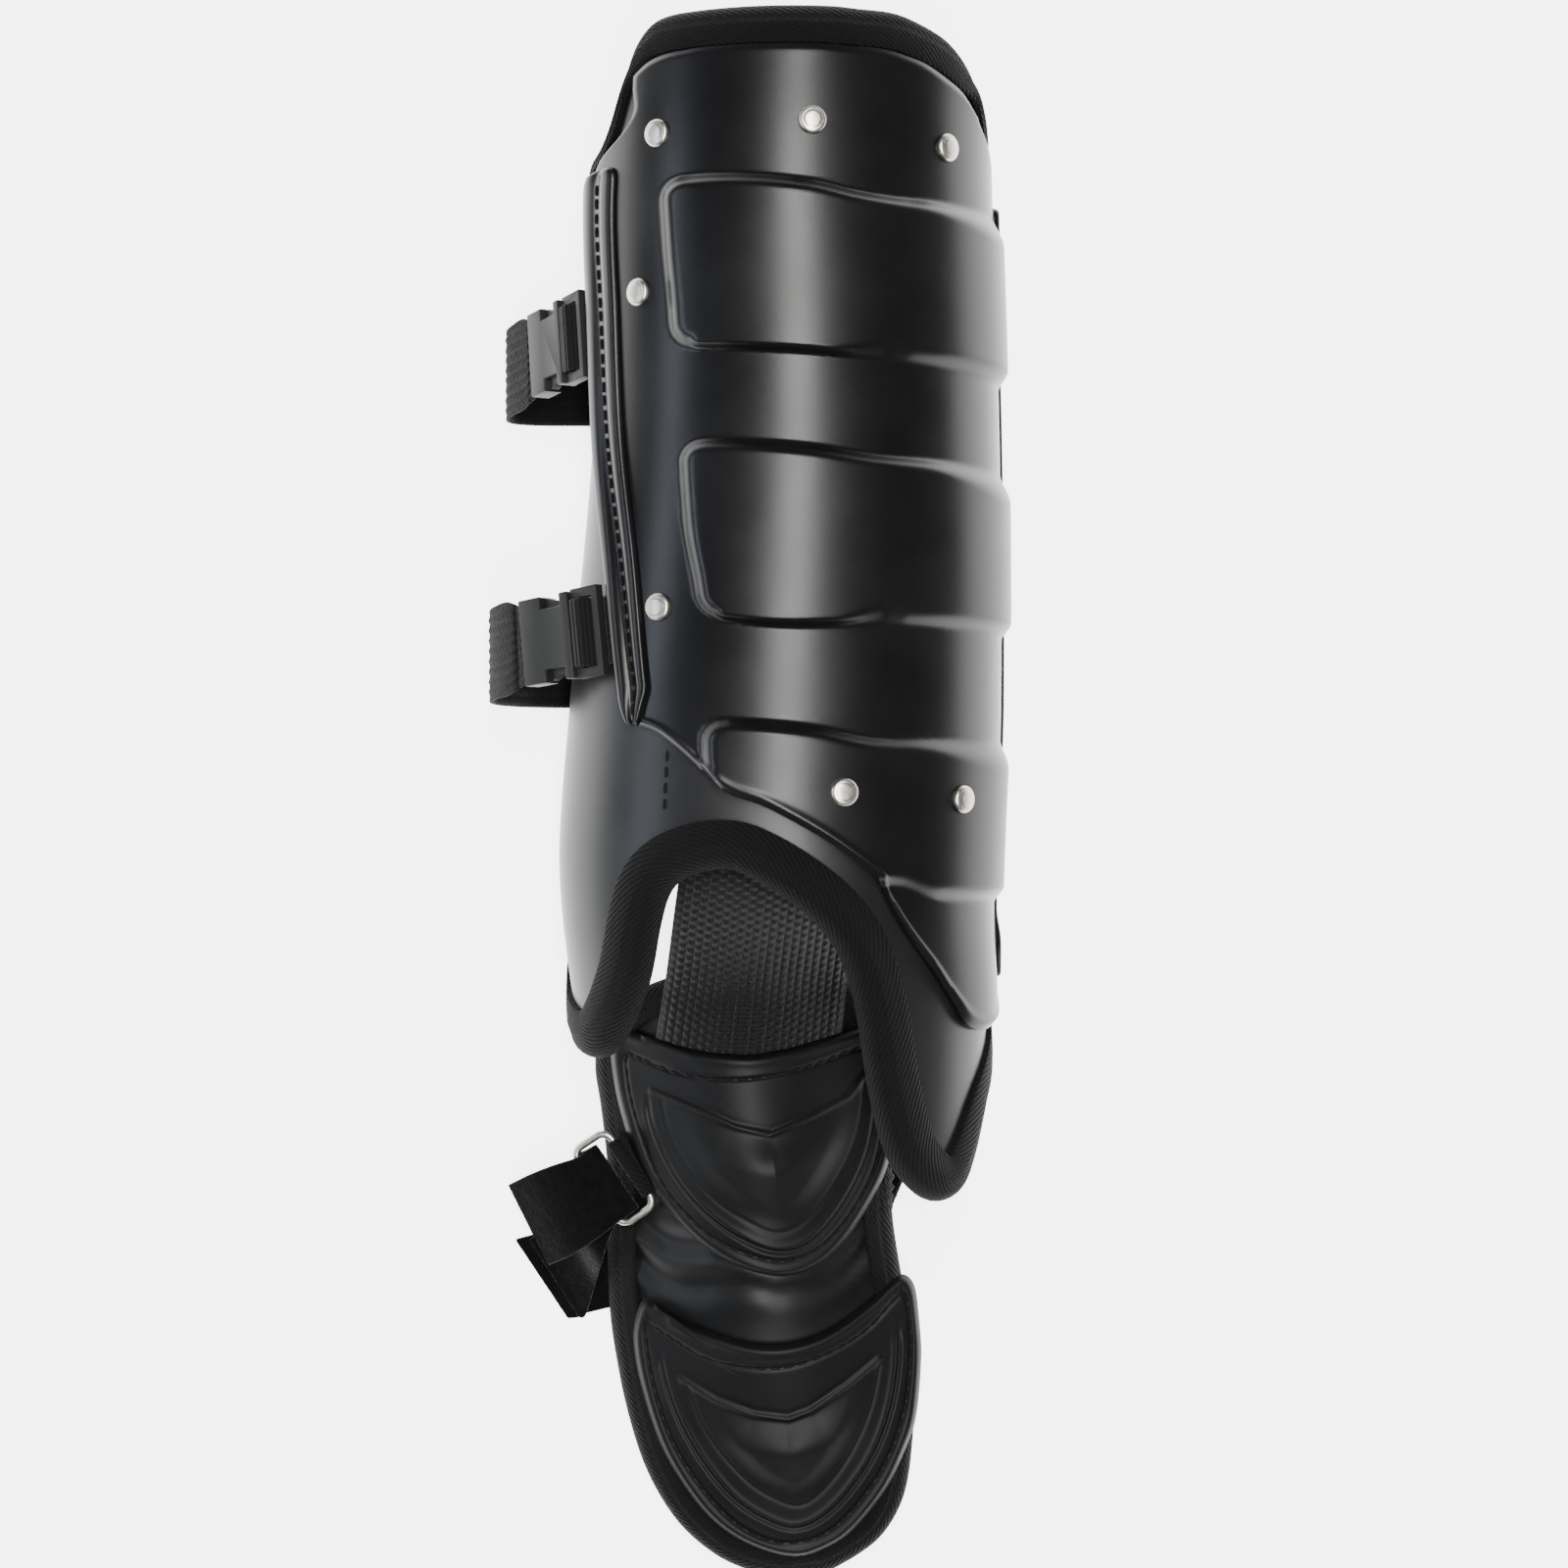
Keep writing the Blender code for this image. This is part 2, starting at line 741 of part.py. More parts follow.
def make_rivet(index, around, length):
    mesh = bmesh.new()
    bmesh.ops.create_cone(
        mesh,
        cap_ends=True,
        segments=RIVET_SIDES,
        radius1=RIVET_RADIUS,
        radius2=RIVET_TOP_RADIUS,
        depth=RIVET_HEIGHT,
    )
    added = add_object(f"rivet_{index}", mesh, nickel)
    foot = SHELL_TOP + panel_height(around, length) + GAP
    normal = leg_normal(around, length)
    spot = leg_share(around, length, foot) + normal * (RIVET_HEIGHT / 2)
    added.matrix_local = Matrix.Translation(spot) @ normal.to_track_quat("Z", "Y").to_matrix().to_4x4()


# Calf straps
def strap_frame(length, leaning):
    """The strap's front end: X runs down along it, Y across it, Z out of it."""
    edge = line_read(SHELL_SIDES, length)[0] * girth(length * SHIN_LENGTH)
    height = GAP + STRAP_THICKNESS / 2
    start = on_leg(edge - STRIP_OVERHANG, length * SHIN_LENGTH, height)
    slope, skew = math.radians(leaning), math.radians(STRAP_SKEW)
    down = Vector((-math.cos(slope), -math.sin(skew), -math.sin(slope))).normalized()
    out = down.cross(Vector((0, -1, 0))).normalized()
    turn = Matrix((down, out.cross(down), out)).transposed()
    return Matrix.Translation(start) @ turn.to_4x4()


def path_stations(path, widths):
    """Stations along a path whose cross direction is level and along Y."""
    stations = []
    for index, point in enumerate(path):
        before = path[max(index - 1, 0)]
        after = path[min(index + 1, len(path) - 1)]
        ahead = after - before
        ahead.y = 0
        across = Vector((0, 1, 0))
        normal = ahead.normalized().cross(across)
        half = widths[index] / 2
        stations.append((point - across * half, point + across * half, normal))
    return stations


def strip_station(length, tuck):
    """A strap's station along the strip's outer edge, tucked under it, at each edge's own place."""
    ends = []
    for side in (-1, 1):
        at = length + side * WEBBING_WIDTH / 2 / SHIN_LENGTH
        edge = line_read(SHELL_SIDES, at)[0] * girth(at * SHIN_LENGTH)
        height = SHELL_FOOT + GAP + STRAP_THICKNESS / 2
        ends.append(on_leg(edge - STRIP_OVERHANG + tuck, at * SHIN_LENGTH, height))
    return ends[0], ends[1], leg_normal(line_read(SHELL_SIDES, length)[0], length)


def buckle_stations(place, path):
    """Stations square to the buckle: each its place along it, its height and its width."""
    stations = []
    for index, (along, height, width) in enumerate(path):
        before = path[max(index - 1, 0)]
        after = path[min(index + 1, len(path) - 1)]
        normal = Vector((before[1] - after[1], 0, after[0] - before[0])).normalized()
        ends = [place @ Vector((along, side * width / 2, height)) for side in (1, -1)]
        stations.append((ends[0], ends[1], place.to_3x3() @ normal))
    return stations


def make_webbing(name, place, length):
    """From under the strip, below the frame's near bar, up through its window and over its far bar."""
    over = FRAME_THICKNESS + 2 * GAP + STRAP_THICKNESS
    near = FRAME_OFFSET + FRAME_BAR
    far = FRAME_OFFSET + FRAME_LENGTH
    path = (
        (FRAME_OFFSET, 0, WEBBING_WIDTH),
        (near + GAP, 0, WEBBING_WIDTH),
        (far - FRAME_BAR * 2, over, WEBBING_WIDTH),
        (far - GAP, over, WEBBING_WIDTH),
    )
    stations = [strip_station(length, STRAP_TUCK)] + buckle_stations(place, path)
    ribbon(name, stations, STRAP_THICKNESS, black_tape)


def frame_matrix(place):
    """The buckle's own middle plane, over the strap's face."""
    rise = FRAME_THICKNESS / 2 + GAP + STRAP_THICKNESS / 2
    return place @ Matrix.Translation((FRAME_OFFSET, 0, rise))


def make_buckle_frame(name, place):
    half, thick = FRAME_WIDTH / 2, FRAME_THICKNESS / 2
    frame = block(name, (0, -half, -thick), (FRAME_LENGTH, half, thick), place, black_plastic)
    tongue = block(
        name + "_tongue",
        (FRAME_LENGTH - FRAME_BAR / 2, -TONGUE_WIDTH / 2, -thick * TONGUE_SHARE),
        (FRAME_LENGTH + TONGUE_LENGTH, TONGUE_WIDTH / 2, thick * TONGUE_SHARE),
        place,
        black_plastic,
    )
    window = block(
        name + "_window",
        (FRAME_BAR, -WEBBING_WIDTH / 2 - GAP, -thick * 2),
        (FRAME_LENGTH - FRAME_BAR, WEBBING_WIDTH / 2 + GAP, thick * 2),
        place,
        black_plastic,
    )
    combine(frame, tongue, "UNION")
    combine(frame, window, "DIFFERENCE")


def make_buckle_body(name, place):
    """The body that the frame's tongue and the elastic enter, with a notch at each side."""
    start = FRAME_LENGTH + GAP
    half, thick = BODY_WIDTH / 2, BODY_THICKNESS / 2
    end = start + BODY_LENGTH
    body = block(name, (start, -half, -thick), (end, half, thick), place, black_plastic)
    socket_depth = TONGUE_LENGTH + 2 * GAP
    room = FRAME_THICKNESS / 2
    socket = block(
        name + "_socket",
        (start - BODY_WALL, -TONGUE_WIDTH / 2 - GAP, -room),
        (start + socket_depth, TONGUE_WIDTH / 2 + GAP, room),
        place,
        black_plastic,
    )
    slot = block(
        name + "_slot",
        (end - ELASTIC_TUCK - GAP, -half + BODY_WALL, -STRAP_THICKNESS / 2 - GAP),
        (end + BODY_WALL, half - BODY_WALL, STRAP_THICKNESS / 2 + GAP),
        place,
        black_plastic,
    )
    combine(body, socket, "DIFFERENCE")
    combine(body, slot, "DIFFERENCE")
    for side in (-1, 1):
        middle = side * half
        depth = (BODY_WIDTH - TONGUE_WIDTH) / 2 - BODY_WALL - GAP
        notch = block(
            f"{name}_notch{side}",
            (start + BODY_LENGTH * NOTCH_START, middle - depth, -thick * 2),
            (start + BODY_LENGTH * NOTCH_END, middle + depth, thick * 2),
            place,
            black_plastic,
        )
        combine(body, notch, "DIFFERENCE")


def curl(first, way, last, pull, steps):
    """A smooth turn from first, leaving along way, to last, arriving along +X."""
    lead = first + way * pull
    trail = last - Vector((pull, 0, 0))
    points = []
    for step in range(1, steps + 1):
        share = step / steps
        rest = 1 - share
        points.append(
            first * rest**3 + lead * 3 * rest**2 * share + trail * 3 * rest * share**2 + last * share**3
        )
    return points


def make_elastic(name, place, length, bulge):
    """From the buckle's slot round onto the floor, under the guard and up its right side."""
    end = FRAME_LENGTH + GAP + BODY_LENGTH
    floor = STRAP_THICKNESS / 2
    inside = place @ Vector((end - ELASTIC_TUCK, 0, 0))
    mouth = place @ Vector((end + GAP, 0, 0))
    way = (mouth - inside).normalized()
    pull = bulge * mouth.z
    landing = Vector((mouth.x + pull * ELASTIC_LANDING, mouth.y + way.y * pull, floor))
    path = [inside, mouth] + curl(mouth, way, landing, pull, CURL_STEPS)
    flat_length = landing.y - SHIN_END
    clear = BINDING_TOP + GAP + floor
    back = on_leg(girth(flat_length), flat_length, clear * BACK_CLEARANCE)
    for share in FLOOR_SHARES:
        path.append(Vector((mix(landing.x, back.x - clear, share), landing.y, floor)))
    for outwards, rise in ELASTIC_TURN:
        path.append(Vector((back.x + clear * outwards, landing.y, floor + clear * rise)))
    edge = line_read(SHELL_SIDES, flat_length / SHIN_LENGTH)[1] * girth(flat_length)
    last = edge + STRIP_OVERHANG - STRAP_TUCK
    first = girth(flat_length) - clear
    for step in range(SIDE_STEPS + 1):
        share = step / SIDE_STEPS
        height = mix(clear * SIDE_CLEARANCE, GAP + floor, ease(share * 2 - SIDE_CLOSING))
        path.append(on_leg(mix(first, last, share), flat_length, height))
    inner_width = BODY_WIDTH - 2 * BODY_WALL - 2 * GAP
    ends = ((end - ELASTIC_TUCK, 0, inner_width), (end + GAP, 0, inner_width))
    stations = buckle_stations(place, ends)
    stations += path_stations(path, [ELASTIC_WIDTH] * len(path))[2:]
    ribbon(name, stations, STRAP_THICKNESS, black_elastic)


def make_calf_strap(name, length, leaning, bulge):
    place = strap_frame(length, leaning)
    make_webbing(name + "_strap_webbing", place, length)
    make_buckle_frame(name + "_buckle_frame", frame_matrix(place))
    make_buckle_body(name + "_buckle_body", frame_matrix(place))
    make_elastic(name + "_strap_elastic", frame_matrix(place), length, bulge)


# Foot pieces
def pad_flat(share, along):
    left, right = line_read(PAD_EDGES, along)
    return Vector((mix(left, right, share) * FOOT_HALF_WIDTH, along * FOOT_LENGTH))


PAD_ACROSS = [column / PAD_COLUMNS for column in range(PAD_COLUMNS + 1)]
PAD_ALONG = [row[0] for row in PAD_EDGES]


def make_foot_pad():
    def outer(share, along):
        return on_foot(*pad_flat(share, along), 0)

    def inner(share, along):
        return on_foot(*pad_flat(share, along), -PAD_THICKNESS)

    sheet("foot_pad", PAD_ACROSS, PAD_ALONG, outer, inner, matte_vinyl)


def make_foot_binding():
    outline = [pad_flat(*place) for place in outline_ring(PAD_ACROSS, PAD_ALONG)]
    sections = []
    for point, inward in zip(outline, inward_turns(outline)):
        section = []
        for inset, height in channel(FOOT_BINDING_WIDTH, BINDING_THICKNESS, PAD_THICKNESS, 0):
            flat = point + inward * inset
            section.append(on_foot(flat.x, flat.y, height))
        sections.append(section)
    sweep("foot_binding", sections, True, black_tape)


def make_cap(name, rows):
    """A moulded cap over the foot pad."""

    def place(across, line, height):
        top, bottom = line_read(rows, across)
        along = mix(top, bottom, line / CAP_LINES) * FOOT_LENGTH
        spot = Vector((across * FOOT_HALF_WIDTH, along))
        tab = Vector((LEFT_RING[0] * FOOT_HALF_WIDTH, LEFT_RING[1] * FOOT_LENGTH))
        swell = CAP_SWELL * ease(2 - (spot - tab).length / TAB_WIDTH)
        return on_foot(spot.x, spot.y, CAP_LIFT + swell + height)

    def outer(across, line):
        return place(across, line, CAP_THICKNESS)

    def inner(across, line):
        return place(across, line, 0)

    sheet(name, [row[0] for row in rows], range(CAP_LINES + 1), outer, inner, cap_rubber)


def make_ankle_web():
    """Webbing from inside the liner's arch down onto the foot pad."""
    depth = LINER_THICKNESS + BINDING_TOP + LINER_EASE + 2 * GAP + WEB_THICKNESS
    arch = line_read([(row[0], row[2]) for row in LINER_OUTLINE], WEB_ARCH_PLACE)[0]
    top = SHIN_END + arch * SHIN_LENGTH + WEB_TUCK

    def place(across, step, height):
        share = step / WEB_STEPS
        top_point = Vector((WEB_TOP_X + across * WEB_WIDTH * WEB_TOP_SHARE, top, 0))
        foot_across = WEB_FOOT_PLACE * FOOT_HALF_WIDTH + across * WEB_WIDTH
        cap_top = line_read(INSTEP_CAP, foot_across / FOOT_HALF_WIDTH)[0]
        end = on_foot(foot_across, cap_top * FOOT_LENGTH - GAP, 0)
        half, rise, middle, _ = leg_section(arch * SHIN_LENGTH)
        reach = (top_point.x - middle) / (half - depth)
        under_leg = SIDE_HEIGHT + (rise - depth) * math.sqrt(1 - reach * reach) + height
        point = top_point.lerp(end, share)
        spot = foot_frame().inverted() @ point
        on_pad = pad_height(spot.x, -spot.y) + CAP_LIFT + height
        point.z = mix(under_leg, on_pad, ease(share * WEB_DROP - WEB_DELAY))
        return point

    def outer(across, step):
        return place(across, step, WEB_THICKNESS)

    def inner(across, step):
        return place(across, step, 0)

    across = [column / WEB_COLUMNS - 0.5 for column in range(WEB_COLUMNS + 1)]
    sheet("ankle_web", across, range(WEB_STEPS + 1), outer, inner, black_webbing)


def make_ring(name, place):
    """A round-cornered wire ring, lying in its own XY plane with its long sides along Y."""
    centres = (
        (RING_WIDTH / 2 - RING_CORNER, RING_LENGTH / 2 - RING_CORNER, 0),
        (-RING_WIDTH / 2 + RING_CORNER, RING_LENGTH / 2 - RING_CORNER, 90),
        (-RING_WIDTH / 2 + RING_CORNER, -RING_LENGTH / 2 + RING_CORNER, 180),
        (RING_WIDTH / 2 - RING_CORNER, -RING_LENGTH / 2 + RING_CORNER, 270),
    )
    sections = []
    for x, y, turn in centres:
        for step in range(RING_CORNER_STEPS + 1):
            angle = math.radians(turn + 90 * step / RING_CORNER_STEPS)
            out = Vector((math.cos(angle), math.sin(angle), 0))
            middle = Vector((x, y, 0)) + out * RING_CORNER
            section = []
            for side in range(RING_SIDES):
                around = 2 * math.pi * (side + 0.5) / RING_SIDES
                way = out * math.cos(around) + Vector((0, 0, math.sin(around)))
                section.append(middle + way * RING_WIRE / 2)
            sections.append(section)
    ring = sweep(name, sections, True, nickel)
    ring.matrix_local = place


def on_pad_ring(spot, turn, tilt, height):
    """A ring's place: over a spot given as foot shares, turned about Z, then tilted about its bars."""
    middle = on_foot(spot[0] * FOOT_HALF_WIDTH, spot[1] * FOOT_LENGTH, height)
    return ring_turned(middle, turn, tilt)


def ring_turned(middle, turn, tilt):
    turned = Matrix.Rotation(math.radians(turn), 4, "Z") @ Matrix.Rotation(math.radians(tilt), 4, "Y")
    return Matrix.Translation(middle) @ turned


def bar_of(ring, side):
    """A long side of a ring: its middle, its way, and the way from the ring's middle to it."""
    turn = ring.to_3x3()
    middle = ring @ Vector((side * RING_WIDTH / 2, 0, 0))
    return middle, turn @ Vector((0, 1, 0)), turn @ Vector((side, 0, 0))


def round_bar(bar, across, first, second, angles, radius, reach):
    """Stations round a bar, from the way first towards the way second."""
    stations = []
    for angle in angles:
        out = first * math.cos(math.radians(angle)) + second * math.sin(math.radians(angle))
        middle = bar + out * radius
        stations.append((middle - across * reach, middle + across * reach, out))
    return stations


def turned_in(stations):
    return [(first, second, -normal) for first, second, normal in stations]


def turned_way(turn):
    """The foot's way towards the knee, turned about Z."""
    angle = math.radians(turn)
    return foot_frame().to_3x3() @ Vector((-math.sin(angle), math.cos(angle), 0))


def level_station(middle, across, normal):
    return (middle - across, middle + across, normal)


def make_foot_strap(left, right):
    """Under the foot from the right ring to the fold, back to the left ring, and out to its end."""
    half = FOOT_STRAP_WIDTH / 2
    radius = RING_WIRE / 2 + GAP + FOOT_STRAP_THICKNESS / 2
    reach = RING_LENGTH / 2 - RING_CORNER
    up = Vector((0, 0, 1))
    low = FOOT_STRAP_THICKNESS / 2
    layer = FOOT_STRAP_THICKNESS + GAP
    bar, across, out = bar_of(right, 1)
    stations = round_bar(bar, across, up, out, RIGHT_WRAP, radius, reach)
    fold = floor_point(*STRAP_FOLD, low)
    run = (fold - Vector((bar.x, bar.y, low))).normalized()
    side = Vector((-run.y, run.x, 0)) * -half
    for distance in STRAP_RUNS:
        middle = Vector((bar.x, bar.y, low)) + run * distance
        stations.append(level_station(middle, side, -up))
    fold_way = turned_way(FOLD_TURN)
    fold_side = fold_way * (half / abs(fold_way.cross(run).z))
    fold_out = Vector((-fold_way.y, fold_way.x, 0))
    stations.append(level_station(fold, fold_side, -up))
    bulge = fold + up * (layer / 2) + fold_out * layer
    stations.append(level_station(bulge, fold_side, fold_out))
    stations.append(level_station(fold + up * layer, fold_side, up))
    bar, across, out = bar_of(left, -1)
    below = bar - up * radius
    for share, rise in STRAP_CLIMB:
        middle = (fold + up * layer).lerp(below, share)
        middle.z = mix(fold.z + layer, below.z, rise)
        stations.append(level_station(middle, fold_side.lerp(across * reach, share), up))
    stations += turned_in(round_bar(bar, across, -up, -out, LEFT_WRAP, radius, reach))
    above = bar + up * radius
    end = floor_point(*STRAP_END, above.z * STRAP_END_HEIGHT)
    end_side = turned_way(END_TURN)
    for share in STRAP_END_SHARES:
        middle = above.lerp(end, share)
        middle.z = mix(above.z, end.z, share * share)
        side = (across * reach).lerp(end_side * half, min(share * 2, 1))
        stations.append(level_station(middle, side, -up))
    ribbon("foot_strap", stations, FOOT_STRAP_THICKNESS, black_hook_tape)


def make_left_tab(ring):
    """Tape from under the cap, over the ring's inner bar and round it."""
    bar, across, out = bar_of(ring, 1)
    radius = RING_WIRE / 2 + GAP + TAB_THICKNESS / 2
    reach = TAB_WIDTH / 2
    up = Vector((0, 0, 1))
    inward = Vector((out.x, out.y, 0)).normalized()
    stations = []
    for distance in LEFT_TAB_SHARES:
        edges = []
        for side in (-1, 1):
            point = bar + inward * distance * TAB_LENGTH + across * reach * side
            edge = foot_frame().inverted() @ point
            edges.append(on_foot(edge.x, -edge.y, CAP_LIFT + TAB_THICKNESS / 2))
        stations.append((edges[0], edges[1], (up - inward * TAB_LEAN).normalized()))
    stations += round_bar(bar, across, up, -out, LEFT_TAB_WRAP, radius, reach)
    ribbon("ring_tab_left", stations, TAB_THICKNESS, black_tape)


def make_right_tab(ring):
    """Tape from the pad's underside, round the ring's inner bar."""
    bar, across, out = bar_of(ring, -1)
    radius = RING_WIRE / 2 + GAP + TAB_THICKNESS / 2
    reach = TAB_WIDTH / 2
    up = Vector((0, 0, 1))
    inward = Vector((out.x, out.y, 0)).normalized()
    stations = []
    for distance in RIGHT_TAB_SHARES:
        edges = []
        for side in (-1, 1):
            point = bar + inward * distance * TAB_LENGTH + across * reach * side
            edge = foot_frame().inverted() @ point
            edges.append(on_foot(edge.x, -edge.y, -PAD_THICKNESS - GAP - TAB_THICKNESS / 2))
        stations.append((edges[0], edges[1], (-up - inward * TAB_LEAN).normalized()))
    stations += turned_in(round_bar(bar, across, out, -up, RIGHT_TAB_WRAP, radius, reach))
    ribbon("ring_tab_right", stations, TAB_THICKNESS, black_tape)


def make_foot_rings():
    left = on_pad_ring(LEFT_RING, LEFT_RING_TURN, LEFT_RING_TILT, LEFT_RING_HEIGHT)
    right_height = FOOT_STRAP_THICKNESS + TAB_THICKNESS + 3 * GAP + RING_WIRE / 2
    right = ring_turned(floor_point(*RIGHT_RING, right_height), RIGHT_RING_TURN, 0)
    make_ring("foot_ring_left", left)
    make_ring("foot_ring_right", right)
    make_left_tab(left)
    make_right_tab(right)
    make_foot_strap(left, right)


def settle():
    """Moves the guard so that the middle of its box's underside is at the origin."""
    bpy.context.view_layer.update()
    pieces = [piece for piece in guard_frame.children if not piece.hide_render]
    points = [piece.matrix_local @ vert.co for piece in pieces for vert in piece.data.vertices]
    low = [min(point[axis] for point in points) for axis in range(3)]
    high = [max(point[axis] for point in points) for axis in range(3)]
    guard_frame.location = (-(low[0] + high[0]) / 2, -(low[1] + high[1]) / 2, -low[2])


def main():
    make_liner()
    make_liner_binding()
    make_shell()
    make_strip("left_edge_strip", -1)
    make_strip("right_edge_strip", 1)
    for index, (around, length) in enumerate(RIVETS, 1):
        make_rivet(index, around, length)
    for name, length, leaning, bulge in CALF_STRAPS:
        make_calf_strap(name, length, leaning, bulge)
    make_foot_pad()
    make_foot_binding()
    make_cap("instep_cap", INSTEP_CAP)
    make_cap("toe_cap", TOE_CAP)
    make_ankle_web()
    make_foot_rings()
    settle()


for leftover in list(bpy.data.objects):
    bpy.data.objects.remove(leftover)
guard_frame = bpy.data.objects.new("guard_frame", None)
bpy.context.scene.collection.objects.link(guard_frame)

black_shell = material("black_shell", (0.012, 0.012, 0.013), 0.32)
matte_vinyl = material("matte_vinyl", (0.014, 0.014, 0.015), 0.50)
black_tape = material("black_tape", (0.008, 0.008, 0.009), 0.85)
black_elastic = material("black_elastic", (0.008, 0.008, 0.009), 0.90)
black_webbing = material("black_webbing", (0.009, 0.009, 0.010), 0.75)
black_plastic = material("black_plastic", (0.020, 0.020, 0.020), 0.40)
cap_rubber = material("cap_rubber", (0.012, 0.012, 0.012), 0.42)
black_hook_tape = material("black_hook_tape", (0.007, 0.007, 0.008), 0.95)
nickel = material("nickel", (0.75, 0.72, 0.68), 0.25, 1.0)

main()
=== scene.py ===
# Batter's foot guard, lying on its back on a pale floor
import math

import bmesh
import bpy
from mathutils import Matrix, Vector, noise


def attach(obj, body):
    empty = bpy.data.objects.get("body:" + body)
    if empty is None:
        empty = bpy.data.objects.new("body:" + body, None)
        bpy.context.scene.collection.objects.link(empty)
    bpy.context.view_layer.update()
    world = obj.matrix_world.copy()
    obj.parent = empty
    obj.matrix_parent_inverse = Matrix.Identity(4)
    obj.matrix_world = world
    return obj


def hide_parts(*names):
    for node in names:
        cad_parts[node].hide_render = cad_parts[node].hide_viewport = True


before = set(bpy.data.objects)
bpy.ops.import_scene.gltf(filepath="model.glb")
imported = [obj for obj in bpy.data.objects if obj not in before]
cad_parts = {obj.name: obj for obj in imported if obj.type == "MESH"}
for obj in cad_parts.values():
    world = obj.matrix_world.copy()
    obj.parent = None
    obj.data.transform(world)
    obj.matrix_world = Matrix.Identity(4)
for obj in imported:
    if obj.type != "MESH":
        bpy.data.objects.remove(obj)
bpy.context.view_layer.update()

origin = Vector((0.01110, 0.01203, 0))  # the shin's own origin in the part's frame
gap = 0.0003
up = Vector((0, 0, 1))


# Reading tables
def mix(first, second, share):
    return first + (second - first) * share


def ease(value):
    value = min(max(value, 0), 1)
    return value * value * (3 - 2 * value)


def bump(distance, width):
    return math.exp(-((distance / width) ** 2))


def hermite(before, first, second, after, spans, share):
    spanBefore, span, spanAfter = spans
    riseIn = (second - before) / (spanBefore + span) * span
    riseOut = (after - first) / (span + spanAfter) * span
    return (
        (2 * share**3 - 3 * share**2 + 1) * first
        + (share**3 - 2 * share**2 + share) * riseIn
        + (3 * share**2 - 2 * share**3) * second
        + (share**3 - share**2) * riseOut
    )


def curveRead(rows, at):
    # values between a table's rows, on a smooth curve
    if at <= rows[0][0]:
        return rows[0][1:]
    if at >= rows[-1][0]:
        return rows[-1][1:]
    last = len(rows) - 1
    low = max(index for index in range(last) if rows[index][0] <= at)
    first, second = rows[low], rows[low + 1]
    before, after = rows[max(low - 1, 0)], rows[min(low + 2, last)]
    spans = (first[0] - before[0], second[0] - first[0], after[0] - second[0])
    share = (at - first[0]) / spans[1]
    columns = range(1, len(first))
    return [hermite(before[c], first[c], second[c], after[c], spans, share) for c in columns]


def stepRead(rows, share):
    # every column of a table at a share of its rows, on a smooth curve
    last = len(rows) - 1
    at = min(max(share, 0), 1) * last
    low = min(int(at), last - 1)
    picked = [rows[max(low - 1, 0)], rows[low], rows[low + 1], rows[min(low + 2, last)]]
    spans = (1 if low else 0, 1, 1 if low + 2 <= last else 0)
    return [hermite(*values, spans, at - low) for values in zip(*picked)]


def lineRead(rows, at):
    for first, second in zip(rows, rows[1:]):
        if at <= second[0]:
            break
    share = min(max((at - first[0]) / (second[0] - first[0]), 0), 1)
    return [a + (b - a) * share for a, b in zip(first[1:], second[1:])]


# Materials
def socket(finish, name):
    return finish.node_tree.nodes["Principled BSDF"].inputs[name]


def newMaterial(name, colour, roughness, metallic=0.0, sheen=0.0, specular=0.5):
    finish = bpy.data.materials.new(name)
    finish.use_nodes = True
    socket(finish, "Base Color").default_value = (*colour, 1)
    socket(finish, "Roughness").default_value = roughness
    socket(finish, "Metallic").default_value = metallic
    socket(finish, "Sheen Weight").default_value = sheen
    socket(finish, "Sheen Roughness").default_value = 0.4
    socket(finish, "Specular IOR Level").default_value = specular
    return finish


def addNode(finish, kind, **values):
    node = finish.node_tree.nodes.new(kind)
    for name, value in values.items():
        if name in node.inputs:
            node.inputs[name].default_value = value
        else:
            setattr(node, name, value)
    return node


def join(finish, source, target):
    finish.node_tree.links.new(source, target)


def objectPlace(finish):
    return addNode(finish, "ShaderNodeTexCoord").outputs["Object"]


def flatPlace(finish, turn):
    # the piece's own flat map in millimetres, turned by some degrees
    spot = addNode(finish, "ShaderNodeUVMap", uv_map="flat")
    mapping = addNode(finish, "ShaderNodeMapping", Scale=(1000, 1000, 1))
    mapping.inputs["Rotation"].default_value = (0, 0, math.radians(turn))
    join(finish, spot.outputs["UV"], mapping.inputs["Vector"])
    return mapping.outputs["Vector"]


def addBump(finish, height, strength, distance, before=None):
    node = addNode(finish, "ShaderNodeBump", Strength=strength, Distance=distance)
    join(finish, height, node.inputs["Height"])
    if before is not None:
        join(finish, before.outputs["Normal"], node.inputs["Normal"])
    join(finish, node.outputs["Normal"], socket(finish, "Normal"))
    return node


def addRange(finish, source, low, high, target):
    # spreads a 0 to 1 pattern between two values on one of the shader's sockets
    node = addNode(finish, "ShaderNodeMapRange")
    node.inputs["To Min"].default_value = low
    node.inputs["To Max"].default_value = high
    join(finish, source, node.inputs["Value"])
    join(finish, node.outputs["Result"], socket(finish, target))


def addTint(finish, source, dark, light):
    ramp = addNode(finish, "ShaderNodeValToRGB")
    ramp.color_ramp.elements[0].position = 0.3
    ramp.color_ramp.elements[0].color = (*dark, 1)
    ramp.color_ramp.elements[1].position = 0.7
    ramp.color_ramp.elements[1].color = (*light, 1)
    join(finish, source, ramp.inputs["Fac"])
    join(finish, ramp.outputs["Color"], socket(finish, "Base Color"))


